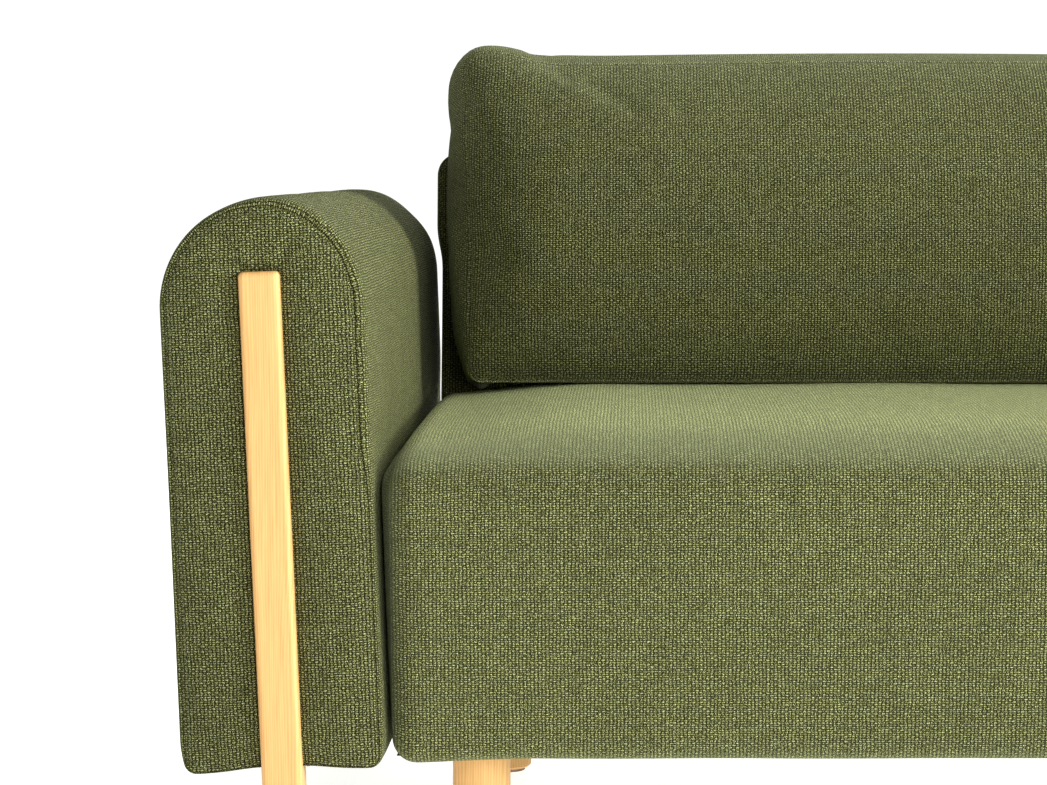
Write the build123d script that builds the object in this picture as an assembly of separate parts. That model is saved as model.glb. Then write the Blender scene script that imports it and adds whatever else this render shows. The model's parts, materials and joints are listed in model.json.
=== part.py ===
from build123d import *
import os
from math import sin, cos, tan, radians, hypot, atan2, degrees

# Futon sofa bed: upholstered seat block, two arch-topped arms with let-in stick legs,
# and a padded back that reclines flat on two side brackets (click-clack).
# Millimetres. X is the width, the sofa faces -Y, +Z is up, the floor is Z = 0.

# ---------------------------------------------------------------- driving sizes
YC = 421.0            # depth of the frame origin behind the front of the seat
SEAT_W = 2000.0       # seat and bed length
SEAT_D = 685.0        # seat block, front to rear
SEAT_TOP = 440.0      # seat height at its crown
SEAT_BOT = 141.0      # underside of the upholstery
COVER = 3.0           # upholstery fabric with its lining
GAP = 0.3             # assembly gap between stacked pieces

ARM_LEAN = 2.05       # arms lean outward, degrees
ARM_X = 1095.5        # centre of an arm at its underside
ARM_BOT = 137.0
ARM_W = 186.0
ARM_LEN = 510.3       # along the lean, underside to crown
ARM_D0, ARM_D1 = -4.0, 846.0
STICK_W = 36.5        # stick legs let into the arm ends
STICK_TOP = 447.0     # along the lean, above the arm underside
STICK_PROUD = 9.0
STICK_IN = 27.0
GLIDE = 4.0           # felt glides

LEG_R = 27.0          # turned seat legs
LEG_X, LEG_D_FRONT, LEG_D_REAR = 921.0, 86.0, 600.0

PIVOT_D, PIVOT_Z = 594.0, 320.0     # recline pivot
REST_LEAN = 12.0                    # back leans this much from vertical at rest
PIN_R = 8.0
BORE_R = 8.06
PLATE = 5.0
X_BASE_PLATE = 977.8                # inner face of the seat-side plate
X_BACK_PLATE = 988.0                # inner face of the back-side plate

CUSH_BACK = 75.0      # rear face of a back cushion, behind the pivot
SEAT_CLEAR = 441.5    # underside of the back cushions at rest
CUSH_EDGE = 983.0
PANEL_Q0, PANEL_Q1 = 77.0, 152.0
PANEL_S0, PANEL_S1 = 98.0, 400.0
PANEL_X = 1001.0
PANEL_X_TOP = 1011.0
PANEL_FLARE_S = 310.0

LEG2_X = 640.0        # fold-down support legs under the back
LEG2_Q, LEG2_S = 170.0, 350.0
LEG2_R = 12.0
LEG2_PIN_R = 4.0

os.makedirs("parts", exist_ok=True)
made = {}


def put(name, shape):
    made[name] = shape


def whole(solids):
    return Compound(children=list(solids))


def blk(x0, x1, d0, d1, z0, z1):
    """Box between two corners: X, depth behind the seat front, Z."""
    return Pos((x0 + x1) / 2, (d0 + d1) / 2 - YC, (z0 + z1) / 2) * Box(
        abs(x1 - x0), abs(d1 - d0), abs(z1 - z0)
    )


def rod_x(x0, x1, d, z, r):
    return Pos((x0 + x1) / 2, d - YC, z) * Rot(0, 90, 0) * Cylinder(r, abs(x1 - x0))


def profile_x(points, x0, x1):
    """Extrudes a (depth, z) outline from x0 to x1."""
    wire = Polyline(*[(x0, d - YC, z) for d, z in points], close=True)
    return extrude(make_face(wire), amount=abs(x1 - x0), dir=(1, 0, 0))


# ---------------------------------------------------------------- seat block
SEAT_OUT = [
    (20, SEAT_BOT), (6, 200), (1, 300), (0, 385), (3, 398), (9, 406), (20, 413), (35, 419),
    (48, 423), (63, 427), (84, 431), (110, 434.5), (168, 440), (420, 440), (588, 440),
    # the rear edge is rounded about the hinge line, so the back cushions swing past it
    (604, 440.0), (616, 438.4), (628, 435.5), (640, 431.3), (651, 426.1), (661, 420.0), (670, 413.4), (678, 406.3),
    (SEAT_D, 398.8), (SEAT_D, SEAT_BOT),
]


def seat_inner(t, drop=2.0):
    """The seat outline moved inward by t, open past the underside."""
    pts = []
    n = len(SEAT_OUT)
    for i in range(n):
        p0, p1, p2 = SEAT_OUT[i - 1], SEAT_OUT[i], SEAT_OUT[(i + 1) % n]
        if i == 0:
            pts.append((p1[0] + t - 0.4, SEAT_BOT - drop))
            continue
        if i == n - 1:
            pts.append((p1[0] - t, SEAT_BOT - drop))
            continue
        a = (p1[0] - p0[0], p1[1] - p0[1])
        b = (p2[0] - p1[0], p2[1] - p1[1])
        la, lb = hypot(*a), hypot(*b)
        na, nb = (a[1] / la, -a[0] / la), (b[1] / lb, -b[0] / lb)
        k = 1 + na[0] * nb[0] + na[1] * nb[1]
        pts.append((p1[0] + t * (na[0] + nb[0]) / k, p1[1] + t * (na[1] + nb[1]) / k))
    return pts


def notches(grow):
    """Side pockets at the rear of the seat, where the hinge plates live."""
    out = []
    for s in (-1, 1):
        xi = 977.3 - grow
        out.append(blk(s * xi, s * (SEAT_W / 2 + 20), 562 - grow, SEAT_D + 20, 188 - grow, 422 + grow))
    return out


ARM_BOLTS = [(150.0, 235.0), (480.0, 235.0)]      # depth, height


def arm_bolt_holes(r):
    return [rod_x(s * 930, s * 1075, d, z, r) for s in (-1, 1) for d, z in ARM_BOLTS]


BRACKET_BOLTS = [(590.0, 240.0), (640.0, 240.0), (590.0, 276.0), (640.0, 276.0)]


def bracket_bolt_holes(r):
    return [rod_x(s * 930, s * 984, d, z, r) for s in (-1, 1) for d, z in BRACKET_BOLTS]


outer = profile_x(SEAT_OUT, -SEAT_W / 2, SEAT_W / 2)
cavity = profile_x(seat_inner(COVER), -SEAT_W / 2 + COVER, SEAT_W / 2 - COVER)
cavity = cavity - notches(COVER)
cover = outer - notches(0) - cavity
cover = cover - arm_bolt_holes(5.0) - bracket_bolt_holes(3.4)
cover = cover - [rod_x(s * 960, s * 990, PIVOT_D, PIVOT_Z, 13.0) for s in (-1, 1)]
put("seat_cover", cover)

RAIL_X0, RAIL_X1 = 940.0, 973.5
RAIL_TOP = 292.0
foam = profile_x(seat_inner(COVER + GAP), -SEAT_W / 2 + COVER + GAP, SEAT_W / 2 - COVER - GAP)
foam = foam - notches(COVER + GAP)
foam = foam - blk(-RAIL_X1 - GAP, RAIL_X1 + GAP, 29.7, SEAT_D + 20, 80, RAIL_TOP + GAP)
foam = foam - blk(-SEAT_W, SEAT_W, -50, SEAT_D + 50, 80, SEAT_BOT + 5)
foam = foam - arm_bolt_holes(5.0)
foam = foam - [rod_x(s * 950, s * 1000, PIVOT_D, PIVOT_Z, 13.0) for s in (-1, 1)]
foam = foam - [rod_x(s * 930, s * 984, d, z, 3.6) for s in (-1, 1) for d, z in BRACKET_BOLTS]
put("seat_foam", foam)

for side, s in (("left", -1), ("right", 1)):
    rail = blk(s * RAIL_X0, s * RAIL_X1, 30, 660, 160, RAIL_TOP)
    rail = rail - arm_bolt_holes(4.0 + 0.1) - bracket_bolt_holes(3.1)
    put(f"seat_{side}_rail", rail)
put("seat_front_rail", blk(-RAIL_X0 + GAP, RAIL_X0 - GAP, 30, 60, 160, 280))
put("seat_rear_rail", blk(-RAIL_X0 + GAP, RAIL_X0 - GAP, 630, 660, 160, 280))
put("seat_center_beam", blk(-22, 22, 60 + GAP, 630 - GAP, 160, 250))
slats = []
for i in range(16):
    x = -870 + 116 * i
    slats.append(blk(x - 30, x + 30, 30, 660, 280 + GAP, RAIL_TOP))
put("seat_slats", whole(slats))

# corner blocks carry the turned legs
CORNERS = [(sx * LEG_X, d) for sx in (-1, 1) for d in (LEG_D_FRONT, LEG_D_REAR)]
corner = []
for x, d in CORNERS:
    s = 1 if x > 0 else -1
    d0, d1 = (60 + GAP, 125) if d < 300 else (565, 630 - GAP)
    corner.append(blk(s * 875, s * (RAIL_X0 - GAP), d0, d1, 160, 205)
                  - Pos(x, d - YC, 180) * Cylinder(5.2, 60))
beam_block = blk(-60, 60, 300, 372, 148, 160 - GAP) - Pos(0, 336 - YC, 155) * Cylinder(5.2, 40)
put("seat_leg_blocks", whole(corner + [beam_block]))

dust = blk(-SEAT_W / 2 + 4, SEAT_W / 2 - 4, 26, SEAT_D - 4, SEAT_BOT + 0.6, SEAT_BOT + 1.8)
for x, d in CORNERS + [(0, 336)]:
    dust = dust - Pos(x, d - YC, 140) * Cylinder(LEG_R + 4, 30)
put("seat_dust_cover", dust)



def turned_leg(x, d, top):
    leg = Pos(x, d - YC, (top + GLIDE) / 2) * Cylinder(LEG_R, top - GLIDE)
    leg = chamfer(leg.edges().group_by(Axis.Z)[0], 2.5)
    return leg - Pos(x, d - YC, top - 15) * Cylinder(5.05, 40)


for name, d in (("seat_front_legs", LEG_D_FRONT), ("seat_rear_legs", LEG_D_REAR)):
    put(name, whole([turned_leg(sx * LEG_X, d, 160 - GAP) for sx in (-1, 1)]))
put("seat_center_leg", turned_leg(0, 336, 148 - GAP))
bolts = []
for x, d in CORNERS:
    bolts.append(Pos(x, d - YC, 162) * Cylinder(5.0, 70))
bolts.append(Pos(0, 336 - YC, 147) * Cylinder(5.0, 24))
put("leg_hanger_bolts", whole(bolts))

# ---------------------------------------------------------------- arms
CL, SL = cos(radians(ARM_LEAN)), sin(radians(ARM_LEAN))


def arm_loc(s):
    """Places arm-local (u, depth, w) in the frame; w runs up along the outward lean."""
    return Pos(s * ARM_X, 0, ARM_BOT) * Rot(0, s * ARM_LEAN, 0)


def arch(half, w0, w1, d0, d1):
    """Arch-topped block: 2*half wide, from w0 to the crown w1."""
    r = half
    with BuildSketch(Plane.XZ) as sk:
        with BuildLine():
            a = Line((-half, w0), (-half, w1 - r))
            ThreePointArc((-half, w1 - r), (0, w1), (half, w1 - r))
            Line((half, w1 - r), (half, w0))
            Line((half, w0), (-half, w0))
        make_face()
    body = extrude(sk.sketch, amount=d1 - d0)          # grows towards -Y
    return Pos(0, d1 - YC, 0) * body


def lblk(u0, u1, d0, d1, w0, w1):
    return Pos((u0 + u1) / 2, (d0 + d1) / 2 - YC, (w0 + w1) / 2) * Box(abs(u1 - u0), abs(d1 - d0), abs(w1 - w0))


H = ARM_W / 2
SF0, SF1 = ARM_D0 - STICK_PROUD, ARM_D0 + STICK_IN      # front stick, depth range
SR0, SR1 = ARM_D1 - STICK_IN, ARM_D1 + STICK_PROUD      # rear stick
glides = []
all_bolts = []
for side, s in (("left", -1), ("right", 1)):
    L = arm_loc(s)
    chan = [
        lblk(-STICK_W / 2 - GAP, STICK_W / 2 + GAP, SF0 - 10, SF1 + GAP, -5, STICK_TOP + GAP),
        lblk(-STICK_W / 2 - GAP, STICK_W / 2 + GAP, SR0 - GAP, SR1 + 10, -5, STICK_TOP + GAP),
    ]
    shell = arch(H, 0, ARM_LEN, ARM_D0, ARM_D1)
    shell = shell - arch(H - COVER, -2, ARM_LEN - COVER, ARM_D0 + COVER, ARM_D1 - COVER) - chan
    put(f"{side}_arm_cover", (L * shell) - arm_bolt_holes(5.0))

    pad = arch(H - COVER - GAP, 14, ARM_LEN - COVER - GAP, ARM_D0 + COVER + GAP, ARM_D1 - COVER - GAP)
    pad = pad - lblk(-62, 62, SF1 + GAP, SR0 - GAP, 0, 430) - chan
    put(f"{side}_arm_foam", (L * pad) - arm_bolt_holes(5.0))

    boards = [lblk(u0, u1, SF1 + 1, SR0 - 1, 14, 429) for u0, u1 in ((-61.5, -46), (46, 61.5))]
    boards = [(L * b) - arm_bolt_holes(4.3) for b in boards]
    put(f"{side}_arm_side_boards", whole(boards))
    posts = [lblk(-45.5, 45.5, d0, d1, 14, 429) for d0, d1 in ((SF1 + GAP, SF1 + 38), (SR0 - 38, SR0 - GAP))]
    put(f"{side}_arm_posts", whole([L * p for p in posts]))
    base = lblk(-(H - 22), H - 22, ARM_D0 + 18, ARM_D1 - 18, 3, 13.5) - chan
    put(f"{side}_arm_base_board", L * base)

    for tag, d0, d1 in (("front", SF0, SF1), ("rear", SR0, SR1)):
        low = -(ARM_BOT + 20)
        stick = lblk(-STICK_W / 2, STICK_W / 2, d0, d1, low, STICK_TOP)
        stick = fillet(stick.edges().filter_by(Axis.Z), 5.0)
        stick = fillet([e for e in stick.edges().group_by(Axis.Z)[-1]], 4.5)
        stick = L * stick
        stick = stick - Pos(s * (ARM_X - 5), (d0 + d1) / 2 - YC, GLIDE - 40) * Box(200, 100, 80)
        put(f"{side}_arm_{tag}_leg", stick)
        foot_x = s * (ARM_X - (ARM_BOT - GLIDE / 2) * tan(radians(ARM_LEAN)))
        glides.append(Pos(foot_x, (d0 + d1) / 2 - YC, GLIDE / 2) * Cylinder(14, GLIDE))

    # bolts through the inner board into the seat side rail
    for d, z in ARM_BOLTS:
        face = ARM_X + (z - ARM_BOT) * tan(radians(ARM_LEAN)) - 46.0
        bolt = rod_x(s * 945, s * (face + 1.2), d, z, 4.0) + rod_x(s * (face + 1.2), s * (face + 6.2), d, z, 9.0)
        all_bolts.append(bolt)
put("arm_bolts", whole(all_bolts))
for x, d in CORNERS + [(0, 336)]:
    glides.append(Pos(x, d - YC, GLIDE / 2) * Cylinder(20, GLIDE))
put("felt_glides", whole(glides))


# ---------------------------------------------------------------- recline brackets
def slab(outline, x0, x1):
    """Plate lying in the (depth, z) plane from hulls of circles."""
    out = None
    for (c0, r0), (c1, r1) in zip(outline[:-1], outline[1:]):
        a = atan2(c1[1] - c0[1], c1[0] - c0[0])
        n = hypot(c1[0] - c0[0], c1[1] - c0[1])
        nx, nz = -sin(a), cos(a)
        quad = [
            (c0[0] + nx * r0, c0[1] + nz * r0), (c1[0] + nx * r1, c1[1] + nz * r1),
            (c1[0] - nx * r1, c1[1] - nz * r1), (c0[0] - nx * r0, c0[1] - nz * r0),
        ]
        piece = profile_x(quad, min(x0, x1), max(x0, x1))
        out = piece if out is None else out + piece
    for c, r in outline:
        out = out + rod_x(x0, x1, c[0], c[1], r)
    return out


def at_back(q, sd):
    """(depth, z) at rest of a point q behind and sd above the pivot, in the leaning back."""
    a = radians(REST_LEAN)
    return (PIVOT_D + q * cos(a) + sd * sin(a), PIVOT_Z - q * sin(a) + sd * cos(a))


bracket_bolts, back_bolts, washers, pivot_pins = [], [], [], []
for side, s in (("left", -1), ("right", 1)):
    x0, x1 = s * X_BASE_PLATE, s * (X_BASE_PLATE + PLATE)
    plate = slab([((PIVOT_D, PIVOT_Z), 24.0), ((612, 262), 34.0)], x0, x1)
    plate = plate + blk(x0, x1, 574, 656, 222, 292)
    plate = plate - rod_x(s * 960, s * 1000, PIVOT_D, PIVOT_Z, PIN_R) - bracket_bolt_holes(3.1)
    put(f"{side}_base_bracket", plate)
    for d, z in BRACKET_BOLTS:
        bracket_bolts.append(
            rod_x(s * 946, s * (X_BASE_PLATE + PLATE + 0.1), d, z, 3.0)
            + rod_x(s * (X_BASE_PLATE + PLATE + 0.1), s * (X_BASE_PLATE + PLATE + 3.1), d, z, 5.5)
        )
    y0, y1 = s * X_BACK_PLATE, s * (X_BACK_PLATE + PLATE)
    arm = slab([((PIVOT_D, PIVOT_Z), 24.0), (at_back(112, 118), 22.0), (at_back(113, 250), 13.0)], y0, y1)
    arm = arm - rod_x(s * 970, s * 1010, PIVOT_D, PIVOT_Z, BORE_R)
    for q, sd in ((112.5, 172), (112.5, 235)):
        d, z = at_back(q, sd)
        arm = arm - rod_x(s * 970, s * 1010, d, z, 3.1)
        back_bolts.append(rod_x(s * 960, s * (X_BACK_PLATE + PLATE + 0.1), d, z, 3.0)
                          + rod_x(s * (X_BACK_PLATE + PLATE + 0.1), s * (X_BACK_PLATE + PLATE + 3.0), d, z, 5.5))
    put(f"{side}_back_bracket", arm)
    # shoulder pin: pressed in the seat-side plate, running in the back-side plate
    pin = rod_x(s * 970, s * (X_BACK_PLATE + PLATE + 0.6), PIVOT_D, PIVOT_Z, PIN_R)
    pin = pin + rod_x(s * (X_BACK_PLATE + PLATE + 0.6), s * (X_BACK_PLATE + PLATE + 4.6), PIVOT_D, PIVOT_Z, 12.5)
    pin = pin + rod_x(s * 970, s * (X_BASE_PLATE - GAP), PIVOT_D, PIVOT_Z, 11.0)
    pivot_pins.append(pin)
    washers.append(rod_x(s * (X_BASE_PLATE + PLATE + 0.2), s * (X_BACK_PLATE - 0.2), PIVOT_D, PIVOT_Z, 14.0)
                   - rod_x(s * 970, s * 1010, PIVOT_D, PIVOT_Z, PIN_R + 0.1))
put("bracket_bolts", whole(bracket_bolts))
put("pivot_pins", whole(pivot_pins))
put("pivot_washers", whole(washers))

# ---------------------------------------------------------------- back, drawn upright about the pivot
BACK = Pos(0, PIVOT_D - YC, PIVOT_Z) * Rot(-REST_LEAN, 0, 0)


def bblk(x0, x1, q0, q1, s0, s1):
    return Pos((x0 + x1) / 2, (q0 + q1) / 2, (s0 + s1) / 2) * Box(abs(x1 - x0), abs(q1 - q0), abs(s1 - s0))


def panel_body(t):
    """Flared back panel, inset by t on every face."""
    k = (PANEL_X_TOP - PANEL_X) / 40.0
    pts = [
        (-(PANEL_X - t), PANEL_S0 + t), (PANEL_X - t, PANEL_S0 + t), (PANEL_X - t, PANEL_FLARE_S - 40),
        (PANEL_X_TOP - t, PANEL_FLARE_S), (PANEL_X_TOP - t, PANEL_S1 - t - 22), (PANEL_X_TOP - t - 6, PANEL_S1 - t - 7),
        (PANEL_X_TOP - t - 22, PANEL_S1 - t), (-(PANEL_X_TOP - t - 22), PANEL_S1 - t),
        (-(PANEL_X_TOP - t - 6), PANEL_S1 - t - 7), (-(PANEL_X_TOP - t), PANEL_S1 - t - 22),
        (-(PANEL_X_TOP - t), PANEL_FLARE_S), (-(PANEL_X - t), PANEL_FLARE_S - 40),
    ]
    wire = Polyline(*[(x, PANEL_Q0 + t, z) for x, z in pts], close=True)
    return extrude(make_face(wire), amount=PANEL_Q1 - PANEL_Q0 - 2 * t, dir=(0, 1, 0))


slots = [bblk(s * 985.5, s * 998, PANEL_Q0 - 12, PANEL_Q0 + 60, 60, 150) for s in (-1, 1)]
SCREWS = [(sx * LEG2_X + dx, LEG2_S + ds) for sx in (-1, 1) for dx, ds in ((-24, 14), (24, 14), (-24, -14), (24, -14))]
panel = panel_body(0) - panel_body(COVER) - slots
panel = panel - [Pos(x, PANEL_Q1 - 1, z) * Rot(90, 0, 0) * Cylinder(2.8, 14) for x, z in SCREWS]
put("back_panel_cover", BACK * panel)
padding = panel_body(COVER + GAP) & bblk(-1100, 1100, PANEL_Q0 + 3.3, PANEL_Q0 + 14, 0, 500)
put("back_panel_padding", BACK * (padding - slots))
FQ0, FQ1 = PANEL_Q0 + 20, PANEL_Q0 + 53
FS0, FS1 = PANEL_S0 + 7, PANEL_S1 - 6
stiles = []
for side, s in (("left", -1), ("right", 1)):
    stile = bblk(s * 957, s * 987.5, FQ0, FQ1, FS0, FS1)
    cuts = []
    for q, sd in ((112.5, 172), (112.5, 235)):
        cuts.append(Pos(s * 970, q, sd) * Rot(0, 90, 0) * Cylinder(3.1, 60))
    stiles.append(BACK * (stile - cuts))
put("back_side_stiles", whole(stiles))
put("back_top_rail", BACK * bblk(-956.7, 956.7, FQ0, FQ1, FS1 - 35, FS1))
put("back_bottom_rail", BACK * bblk(-956.7, 956.7, FQ0, FQ1, FS0, FS0 + 40))
inner = []
for x in (-LEG2_X, 0, LEG2_X):
    st = bblk(x - 35, x + 35, FQ0, FQ1, FS0 + 40 + GAP, FS1 - 35 - GAP)
    inner.append(st)
put("back_inner_stiles", whole([BACK * i for i in inner]))
straps = []
for i in range(15):
    x = -896 + 128 * i
    straps.append(BACK * bblk(x - 25, x + 25, PANEL_Q0 + 14.4, PANEL_Q0 + 16.9, FS0 + 6, FS1 - 6))
put("back_webbing", whole(straps))
backer = (panel_body(COVER + GAP) & bblk(-1100, 1100, PANEL_Q1 - 9, PANEL_Q1 - 3.6, 0, 500)) - [Pos(x, PANEL_Q1 - 7, z) * Rot(90, 0, 0) * Cylinder(2.8, 20) for x, z in SCREWS]
put("back_panel_board", BACK * (backer - slots))

# cushions: outline in the rest pose as (depth, z), crowned to the front, cut level over the seat
CUSH_FRONT = [
    (528, 441.5), (512, 452), (504, 478), (500, 520), (499, 560), (501, 620), (508, 665),
    (521, 705), (545, 748), (570, 778), (598, 797), (630, 807), (665, 810), (700, 805), (735, 791), (756, 772),
]


def to_back(d, z):
    a = radians(REST_LEAN)
    return ((d - PIVOT_D) * cos(a) - (z - PIVOT_Z) * sin(a), (d - PIVOT_D) * sin(a) + (z - PIVOT_Z) * cos(a))


def inset(points, t):
    """Moves a closed clockwise or anticlockwise outline inward by t."""
    n = len(points)
    area = sum(points[i - 1][0] * points[i][1] - points[i][0] * points[i - 1][1] for i in range(n))
    sg = 1 if area > 0 else -1
    pts = []
    for i in range(n):
        p0, p1, p2 = points[i - 1], points[i], points[(i + 1) % n]
        a, b = (p1[0] - p0[0], p1[1] - p0[1]), (p2[0] - p1[0], p2[1] - p1[1])
        la, lb = hypot(*a), hypot(*b)
        na, nb = (-sg * a[1] / la, sg * a[0] / la), (-sg * b[1] / lb, sg * b[0] / lb)
        k = 1 + na[0] * nb[0] + na[1] * nb[1]
        pts.append((p1[0] + t * (na[0] + nb[0]) / k, p1[1] + t * (na[1] + nb[1]) / k))
    return pts


rear_top = (CUSH_BACK, to_back(764, 752)[1])
rear_low = (CUSH_BACK, (SEAT_CLEAR - PIVOT_Z + CUSH_BACK * sin(radians(REST_LEAN))) / cos(radians(REST_LEAN)))
CUSH_OUT = [to_back(d, z) for d, z in CUSH_FRONT] + [rear_top, rear_low]


def cushion(s, t):
    x0, x1 = 3.5 + t, CUSH_EDGE - t
    pts = inset(CUSH_OUT, t) if t else CUSH_OUT
    wire = Polyline(*[(s * x0, q, z) for q, z in pts], close=True)
    return extrude(make_face(wire), amount=x1 - x0, dir=(s, 0, 0))


zips, strips = [], []
a12 = radians(REST_LEAN)
for side, s in (("left", -1), ("right", 1)):
    zq = 40.0
    zs = (SEAT_CLEAR - PIVOT_Z + zq * sin(a12)) / cos(a12)      # underside of the cushion at q = zq
    zip_cut = Pos(s * 490, zq, zs) * Rot(REST_LEAN, 0, 0) * Box(500, 6, 14)
    put(f"{side}_back_cushion_cover", BACK * (cushion(s, 0) - cushion(s, COVER) - zip_cut))
    put(f"{side}_back_cushion_fill", BACK * cushion(s, COVER + GAP))
    zips.append(BACK * (Pos(s * 490, zq, zs) * Rot(REST_LEAN, 0, 0) * Pos(0, 0, 1.6) * Box(499, 5, 2.0)))
    for z in (190, 330):
        strips.append(BACK * bblk(s * 150, s * 850, CUSH_BACK + 0.2, PANEL_Q0 - 0.2, z - 20, z + 20))
put("cushion_zips", whole(zips))
put("cushion_fixing_strips", whole(strips))
put("back_bracket_bolts", whole(back_bolts))

# ---------------------------------------------------------------- fold-down support legs
brackets, pins, screws = [], [], []
for s, side in ((-1, "left"), (1, "right")):
    x = s * LEG2_X
    br = bblk(x - 34, x + 34, PANEL_Q1 + 0.3, PANEL_Q1 + 3.3, LEG2_S - 24, LEG2_S + 24)
    for e in (-1, 1):
        ear = bblk(x + e * 14, x + e * 17, PANEL_Q1 + 3.0, LEG2_Q - 0.1, LEG2_S - 14, LEG2_S + 14)
        ear = ear + Pos(x + e * 15.5, LEG2_Q, LEG2_S) * Rot(0, 90, 0) * Cylinder(14, 3)
        br = br + ear
    br = br - Pos(x, LEG2_Q, LEG2_S) * Rot(0, 90, 0) * Cylinder(LEG2_PIN_R, 60)
    for dx, ds in ((-24, 14), (24, 14), (-24, -14), (24, -14)):
        br = br - Pos(x + dx, PANEL_Q1 + 1, LEG2_S + ds) * Rot(90, 0, 0) * Cylinder(2.7, 20)
        sc = Pos(x + dx, PANEL_Q1 - 4, LEG2_S + ds) * Rot(90, 0, 0) * Cylinder(2.4, 15)
        sc = sc + Pos(x + dx, PANEL_Q1 + 4.4, LEG2_S + ds) * Rot(90, 0, 0) * Cylinder(4.5, 2)
        screws.append(BACK * sc)
    brackets.append(BACK * br)
    pin = Pos(x, LEG2_Q, LEG2_S) * Rot(0, 90, 0) * Cylinder(LEG2_PIN_R - 0.02, 38)
    for e in (-1, 1):
        pin = pin + Pos(x + e * 19.5, LEG2_Q, LEG2_S) * Rot(0, 90, 0) * Cylinder(6, 3)
    pins.append(BACK * pin)
    reach = PIVOT_Z - LEG2_Q - 0.0          # pivot of the leg to the floor when the back is flat
    tube = Pos(x, LEG2_Q, LEG2_S - (reach - 5) / 2) * Cylinder(LEG2_R, reach - 5)
    tube = tube + Pos(x, LEG2_Q, LEG2_S) * Rot(0, 90, 0) * Cylinder(LEG2_R, 22)
    tube = tube - Pos(x, LEG2_Q, LEG2_S) * Rot(0, 90, 0) * Cylinder(LEG2_PIN_R + 0.05, 60)
    put(f"{side}_support_leg", BACK * tube)
    cap = Pos(x, LEG2_Q, LEG2_S - reach + 13) * Cylinder(14.5, 26) - Pos(x, LEG2_Q, LEG2_S - reach + 4.9 + 15) * Cylinder(LEG2_R + 0.1, 30)
    put(f"{side}_support_leg_cap", BACK * cap)
put("support_leg_brackets", whole(brackets))
put("support_leg_pins", whole(pins))
put("support_leg_screws", whole(screws))

# ---------------------------------------------------------------- write
lo, hi = [1e9] * 3, [-1e9] * 3
for name, shape in made.items():
    if isinstance(shape, (list, ShapeList)):
        shape = whole(shape)
        made[name] = shape
    b = shape.bounding_box()
    for i, (a, c) in enumerate(zip(b.min, b.max)):
        lo[i], hi[i] = min(lo[i], a), max(hi[i], c)
    export_step(shape, f"parts/{name}.step")
print(len(made), "nodes; box", [round(v, 3) for v in lo], [round(v, 3) for v in hi])
print("pivot", PIVOT_D - YC, PIVOT_Z, "support leg pivot", [round(v, 4) for v in at_back(LEG2_Q, LEG2_S)], at_back(LEG2_Q, LEG2_S)[0] - YC)
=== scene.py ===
import bpy
import bmesh
import json
import math
import numpy as np
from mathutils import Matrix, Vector
from mathutils.kdtree import KDTree

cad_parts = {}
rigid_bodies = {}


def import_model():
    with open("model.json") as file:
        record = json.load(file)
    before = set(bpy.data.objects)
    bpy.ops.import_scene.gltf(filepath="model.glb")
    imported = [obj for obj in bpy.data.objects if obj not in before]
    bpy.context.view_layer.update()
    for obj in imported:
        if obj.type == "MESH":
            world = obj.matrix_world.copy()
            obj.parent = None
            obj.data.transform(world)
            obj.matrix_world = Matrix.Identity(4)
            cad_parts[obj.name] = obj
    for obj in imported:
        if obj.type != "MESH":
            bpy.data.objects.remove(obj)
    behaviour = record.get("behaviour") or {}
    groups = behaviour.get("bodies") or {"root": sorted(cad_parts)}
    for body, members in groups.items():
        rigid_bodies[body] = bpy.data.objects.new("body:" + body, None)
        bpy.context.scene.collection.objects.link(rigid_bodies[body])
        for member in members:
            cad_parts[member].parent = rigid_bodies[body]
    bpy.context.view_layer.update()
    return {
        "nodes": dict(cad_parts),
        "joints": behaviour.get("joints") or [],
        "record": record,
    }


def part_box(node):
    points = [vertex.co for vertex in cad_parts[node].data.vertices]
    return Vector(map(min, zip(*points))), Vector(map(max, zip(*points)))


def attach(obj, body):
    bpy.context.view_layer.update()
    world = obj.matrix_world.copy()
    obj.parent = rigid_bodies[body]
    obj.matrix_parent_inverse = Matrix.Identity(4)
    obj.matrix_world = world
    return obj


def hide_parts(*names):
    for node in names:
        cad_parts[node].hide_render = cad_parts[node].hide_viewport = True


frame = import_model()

MM = 0.001
scene = bpy.context.scene

# ------------------------------------------------------------------ frame positions
SEAT_LO, SEAT_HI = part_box("seat_cover")
Y0 = SEAT_LO.y                      # front of the seat; depths d are millimetres behind it
PIV = Vector(next(j for j in frame["joints"] if j["name"] == "back_recline")["pos_m"])
PD, PZ = (PIV.y - Y0) / MM, PIV.z / MM
ARM_LEAN = math.radians(2.05)
ARM_X, ARM_BOT, ARM_H, ARM_W = 1095.5, 137.0, 510.3, 186.0
LEAN = math.radians(12.0)


def smooth(a, b, x):
    t = np.clip((np.asarray(x, float) - a) / (b - a), 0, 1)
    return t * t * (3 - 2 * t)


_perm = np.random.RandomState(7).permutation(256)
_perm = np.concatenate([_perm, _perm, _perm])
_grad = np.random.RandomState(11).normal(size=(256, 3))
_grad /= np.linalg.norm(_grad, axis=1)[:, None]


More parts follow.
